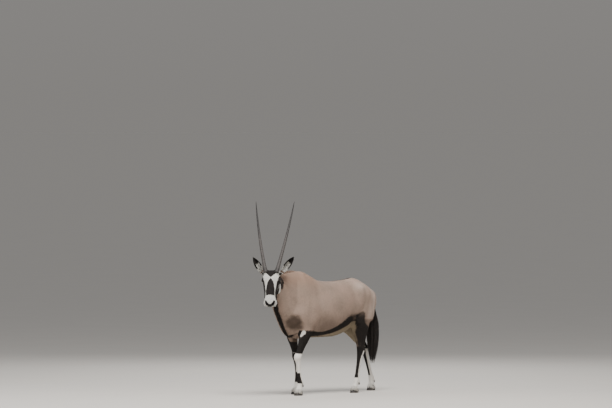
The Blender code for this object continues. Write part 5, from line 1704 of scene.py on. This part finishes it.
def hornPath(side, share):
    # Up and back from the brow, the spread growing fastest at first, with a slight bow.
    left = headAxes()[1]
    yaw = math.radians(look["headYaw"])
    level = np.array((math.sin(yaw), -math.cos(yaw), 0.0))
    root = headPoint(horns["root"] * np.array((1.0, side, 1.0)))
    share = share[:, None]
    spread = (horns["tipSpread"] - horns["root"][1]) * (1.35 * share - 0.35 * share ** 2)
    bow = horns["bow"] * 4 * share * (1 - share)
    climb, recede = horns["rise"] * share + bow * 0.62, horns["back"] * share - bow * 0.78
    return root + climb * np.array((0, 0, 1.0)) - recede * level + side * spread * left


def hornPiece(side, name, cadNode):
    # A tapering tube whose rings rise as (1/2 - 1/2 cos)^0.7 of a phase that wanders a little.
    share = np.linspace(-horns["sunk"], 1.0, horns["steps"])
    flare, fall = horns["flare"]
    base = horns["radius"] * ((1 - flare) * np.clip(1 - share, 0.0, 1.0) ** horns["taper"]
                              + flare * np.exp(-np.maximum(share, 0) / fall))
    start, end = horns["ringed"]
    climb = np.clip((share - start) / (end - start), 0, 1)
    phase = climb ** 0.92 * horns["rings"] + 0.30 * np.sin(21 * climb + side) + 0.16 * np.sin(47 * climb)
    fade = smoothStep(start - 0.01, start + 0.02, share) * (1 - smoothStep(end - 0.12, end, share))
    turn = np.arange(horns["sides"]) * 2 * math.pi / horns["sides"]
    skew = phase[:, None] + 0.10 * np.sin(turn)[None] + 0.05 * np.sin(3 * turn + side)[None]
    ridge = (0.5 - 0.5 * np.cos(2 * math.pi * skew)) ** 0.7
    uneven = 0.8 + 0.2 * np.sin(33 * climb + 2 * side)
    strength = (fade * uneven)[:, None] * (0.75 + 0.25 * np.cos(turn))[None] * horns["ridge"]
    grain = horns["grain"] * np.sin(11 * turn + 2.0)[None] * (1 - share)[:, None]
    oval = base[:, None] * (1 - 0.02 * np.cos(2 * turn))
    radius = np.maximum(oval + strength * ridge + grain, horns["leastRadius"])
    path = hornPath(side, share)
    tangent = unit(np.gradient(path, axis=0))
    across = unit(np.cross(tangent, np.array((0.0, -1.0, 0.0))))
    rise = np.cross(across, tangent)
    rings = path[:, None] + radius[..., None] * (np.cos(turn)[None, :, None] * rise[:, None]
                                                 + np.sin(turn)[None, :, None] * across[:, None])
    shapePoints, shapeFaces = tube(rings)
    fields = {"length": np.concatenate([np.repeat(share, horns["sides"]), [share[0], share[-1]]]),
              "ridge": np.concatenate([(ridge * fade[:, None]).ravel(), [0, 0]])}
    thing = makeObject(name, toModel(shapePoints), shapeFaces, fields=fields)
    thing.data.materials.append(hornShell)
    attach(thing, "root")
    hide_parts(cadNode)


def hornFinish():
    # Near black, worn lighter on the ridges, blacker and smoother towards the tip.
    finish = Finish("hornShell", Specular_IOR_Level=0.45)
    place = finish.place()
    length, ridge = finish.field("length"), finish.field("ridge")
    streaks = finish.noise(finish.stretched(place, (340.0, 340.0, 26.0)), 1.0, 4.0, 0.6)
    blotches = finish.noise(place, 34.0, 4.0)
    worn = (ridge * 0.55 + blotches * 0.5 - 0.20).clamped()
    colour = finish.mix(worn, (0.026, 0.022, 0.021), (0.088, 0.076, 0.070))
    colour = finish.mix(length.steep(0.70, 0.6), colour, (0.013, 0.0115, 0.0115))
    colour = finish.node("ShaderNodeHueSaturation", Value=0.72 + streaks * 0.55, Color=colour)
    height = streaks * 0.4 + blotches * 0.25
    roughness = 0.62 - length.steep(0.65, 0.5) * 0.24 + (blotches - 0.5) * 0.2
    return finish.put(Base_Color=colour, Roughness=roughness, Normal=finish.bump(height, 0.5, 0.0006))


hornShell = hornFinish()
for side, word in ((1, "left"), (-1, "right")):
    hornPiece(side, "horn" + word.capitalize(), "horn_" + word)
report("horns")


# The eyes: a dark ball with a low cornea, a brown iris and a level oval pupil.
eyes = {
    "cornea": 0.055,
    "corneaReach": 0.62,
    "iris": 0.66,
    "pupil": (0.4, 0.17),
    "rows": 90,
    "sides": 64,
}


def eyePiece(side, name, cadNode):
    # A ball of radius r (1 + cornea exp(-(angle from the gaze / reach)^4)).
    centre, gaze, longWay, shortWay = eyeFrame(side)
    rows, sides = eyes["rows"], eyes["sides"]
    polar = np.linspace(0.001, math.pi - 0.001, rows)
    turn = np.arange(sides) * 2 * math.pi / sides
    radius = headParts["eyeRadius"] * (1 + eyes["cornea"] * np.exp(-(polar / eyes["corneaReach"]) ** 4))
    out = (np.cos(polar)[:, None, None] * gaze
           + np.sin(polar)[:, None, None] * (np.cos(turn)[None, :, None] * longWay
                                             + np.sin(turn)[None, :, None] * shortWay))
    rings = centre + radius[:, None, None] * out
    shapePoints, shapeFaces = tube(rings)
    a, b = eyes["pupil"]
    wide = np.sin(polar)[:, None] * np.cos(turn)[None]
    high = np.sin(polar)[:, None] * np.sin(turn)[None]
    pupil = np.where(polar[:, None] < 1.5, np.hypot(wide / a, high / b), 9.0)
    fields = {"polar": np.concatenate([np.repeat(polar, sides), [0.0, math.pi]]),
              "pupil": np.concatenate([pupil.ravel(), [0.0, 9.0]]),
              "spoke": np.concatenate([np.tile(np.cos(9 * turn) * 0.5 + 0.5, rows), [0.5, 0.5]])}
    thing = makeObject(name, toModel(shapePoints), shapeFaces, fields=fields)
    thing.data.materials.append(eyeball)
    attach(thing, "root")
    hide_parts(cadNode)


def eyeFinish():
    # Pupil, iris, its dark rim and the white beyond it, by the angle from the gaze.
    finish = Finish("eyeball", Roughness=0.06, Specular_IOR_Level=0.6, Coat_Weight=1.0, Coat_Roughness=0.03)
    polar, pupil = finish.field("polar"), finish.field("pupil")
    fibres = finish.noise(finish.place(), 900.0, 2.0)
    iris = finish.mix(fibres, (0.020, 0.0085, 0.0045), (0.060, 0.026, 0.012))
    colour = finish.mix(pupil.steep(1.0, 0.25), (0.0015, 0.0012, 0.0012), iris)
    colour = finish.mix(polar.steep(eyes["iris"] + 0.06, 0.10), colour, (0.010, 0.007, 0.006))
    colour = finish.mix(polar.steep(1.02, 0.2), colour, (0.035, 0.024, 0.020))
    return finish.put(Base_Color=colour)


eyeball = eyeFinish()
for side, word in ((1, "left"), (-1, "right")):
    eyePiece(side, "eye" + word.capitalize(), "eye_" + word)
report("eyes")


def clawShape(foot, toeSide):
    # A superellipse at each height t * top(y), where the top slopes down to the heel.
    turn = np.arange(hooves["sides"]) * 2 * math.pi / hooves["sides"]
    share = np.linspace(0, 1, hooves["rows"])[:, None]
    power = 2 / hooves["power"]
    ringHeight, ringWaves = hooves["ripple"]
    cosine = np.sign(np.cos(turn)) * np.abs(np.cos(turn)) ** power
    sine = np.sign(np.sin(turn)) * np.abs(np.sin(turn)) ** power
    z = share * hooves["height"] * np.ones_like(turn)[None]
    slope = math.tan(math.radians(hooves["slope"]))
    for _ in range(4):
        reach, heel, outer, inner = (valueAt(hooves["profile"], z, k) for k in (1, 2, 3, 4))
        ripple = ringHeight * np.sin(z * ringWaves)
        forward = (reach - heel) / 2 + (reach + heel) / 2 * cosine + ripple * cosine
        z = share * (hooves["height"] + slope * forward)
    wide = np.where(sine > 0, outer, inner) + ripple
    depth, sharpness = hooves["point"]
    toe = depth * np.clip((forward - (reach - heel) / 2) / ((reach + heel) / 2), 0.0, 1.0) ** sharpness
    out = hooves["cleft"] / 2 + (inner + wide * sine) * (1 - toe)
    rings = np.stack([foot[0] + toeSide * out, foot[1] - forward, z], axis=-1)
    return tube(rings)


def hoofPiece(leg):
    # Two claws, and two dewclaws: balls drawn in below, stretched and turned about X.
    shapes = []
    joints = flesh["legs"][leg]
    axes = Matrix.Rotation(math.radians(hooves["dewclawTilt"]), 3, "X").transposed()
    plain, clawFaces = ball(np.zeros(3), (1, 1, 1), rows=20, sides=24)
    drawnIn = plain * np.where(plain[:, 2:] < 0, (0.86, 0.86, 1.0), (1.0, 1.0, 1.0))
    dewclaw = drawnIn * np.array(hooves["dewclawRadii"]) @ np.asarray(axes)
    for side in (1, -1):
        shapes.append(clawShape(joints["coronet"], side))
        centre = np.array(joints["fetlock"]) + np.array(hooves["dewclaw"]) * (side, 1, 1)
        shapes.append((dewclaw + centre, clawFaces))
    shapePoints, shapeFaces = joined(shapes)
    word = "".join(part.capitalize() for part in leg.split("_"))
    thing = makeObject("hooves" + word, toModel(shapePoints), shapeFaces)
    thing.data.materials.append(hoofWall)
    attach(thing, "root")
    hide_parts(*[part + "_" + leg + "_" + end
                         for part in ("hoof", "dewclaw") for end in ("outer", "inner")])


def hoofFinish():
    # Dark layers along the wall, paler in blotches and towards the bottom.
    finish = Finish("hoofWall", Specular_IOR_Level=0.4)
    place = finish.place()
    layers = finish.noise(finish.stretched(place, (30.0, 30.0, 420.0)), 1.0, 3.0)
    hoofBlotches = finish.noise(place, 26.0, 5.0)
    height = finish.node("ShaderNodeSeparateXYZ", values=(place,), output=2)
    colour = finish.mix(layers, (0.018, 0.018, 0.019), (0.050, 0.047, 0.045))
    low = 1.0 - height.steep(0.012, 0.024)
    colour = finish.mix(((hoofBlotches.steep(0.55, 0.3)) * 0.25 + low * 0.12).clamped(), colour, (0.17, 0.145, 0.12))
    return finish.put(Base_Color=colour, Roughness=0.5 + hoofBlotches * 0.3, Normal=finish.bump(layers, 0.4, 0.0005))


hoofWall = hoofFinish()
for leg in flesh["legs"]:
    hoofPiece(leg)
report("hooves")


# Floor, light and camera.
studio = {
    "azimuth": 43.0,
    "elevation": 1.0,
    "distance": 60.0,
    "frameWidth": 5.985,
    # the middle of the picture: along its width in the animal's own frame, height
    "aim": (-0.254, 1.85),
    "floor": (0.6, 0.57, 0.53),
    "floorSize": 3000.0,
    "sky": (0.8, 0.81, 0.83),
    # height of the sky's direction at which it has its full brightness
    "skyFull": 0.3,
    "skyStrength": 0.5,
    "lightAim": (0.0, 0.0, 0.9),
    # name: place, size, power, colour
    "lights": {
        "key": ((3.2, -2.8, 7.4), 4.5, 950.0, (1.0, 0.975, 0.94)),
        "fill": ((-2.5, -6.0, 3.0), 4.0, 130.0, (0.95, 0.97, 1.0)),
        "back": ((-4.0, 4.5, 5.0), 4.0, 200.0, (1.0, 1.0, 1.0)),
    },
    "sensor": 36.0,
}


def studioFloor():
    # A flat square, its colour 3 % up and down in slow blotches.
    corners = studio["floorSize"] * np.array([(-1, -1, 0), (1, -1, 0), (1, 1, 0), (-1, 1, 0)], float)
    thing = makeObject("floor", corners, np.array([(0, 1, 2), (0, 2, 3)]))
    finish = Finish("floorPaint", Roughness=0.9, Specular_IOR_Level=0.0)
    mottle = finish.noise(finish.place(), 1.5, 3.0)
    darker, lighter = ([share * part for part in studio["floor"]] for share in (0.97, 1.03))
    thing.data.materials.append(finish.put(Base_Color=finish.mix(mottle, darker, lighter)))


def areaLight(name, place, size, power, colour):
    # A disc that looks at the animal's middle.
    light = bpy.data.lights.new(name, "AREA")
    light.shape = "DISK"
    light.size = size
    light.energy = power
    light.color = colour
    thing = bpy.data.objects.new(name, light)
    bpy.context.scene.collection.objects.link(thing)
    thing.location = place
    thing.rotation_euler = (Vector(studio["lightAim"]) - Vector(place)).to_track_quat("-Z", "Y").to_euler()


def studioCamera():
    # Aim plus distance times the way back, at sensor * distance / frame width.
    azimuth, elevation = math.radians(studio["azimuth"]), math.radians(studio["elevation"])
    right = np.array((math.cos(azimuth), math.sin(azimuth), 0.0))
    back = np.array((math.sin(azimuth) * math.cos(elevation), -math.cos(azimuth) * math.cos(elevation),
                     math.sin(elevation)))
    aim = right * studio["aim"][0] + np.array((0, 0, studio["aim"][1])) + modelShift
    camera = bpy.data.cameras.new("camera")
    camera.sensor_width = studio["sensor"]
    camera.lens = studio["sensor"] * studio["distance"] / studio["frameWidth"]
    camera.clip_end = 500.0
    thing = bpy.data.objects.new("camera", camera)
    bpy.context.scene.collection.objects.link(thing)
    thing.location = aim + back * studio["distance"]
    thing.rotation_euler = Vector(-back).to_track_quat("-Z", "Y").to_euler()
    bpy.context.scene.camera = thing


def studioSky():
    # The horizon takes the far floor's own brightness: floor * sky * k / (1 - floor * (1 - k)), where
    # k = 1 - full^2 / 3 is the upper sky's part in the light on the floor.
    world = bpy.data.worlds.new("studio")
    world.use_nodes = True
    tree = world.node_tree
    part = 1 - studio["skyFull"] ** 2 / 3
    horizon = [f * s * part / (1 - f * (1 - part)) for f, s in zip(studio["floor"], studio["sky"])]
    way = node(tree, "ShaderNodeTexCoord", output="Object")
    height = node(tree, "ShaderNodeSeparateXYZ", values=(way,), output=2)
    share = (height * (1 / studio["skyFull"])).clamped()
    background = tree.nodes["Background"]
    tree.links.new(mixed(tree, share, horizon, studio["sky"]).socket, background.inputs["Color"])
    background.inputs["Strength"].default_value = studio["skyStrength"]
    bpy.context.scene.world = world


studioFloor()
studioSky()
for name, settings in studio["lights"].items():
    areaLight(name, *settings)
studioCamera()
report("scene")
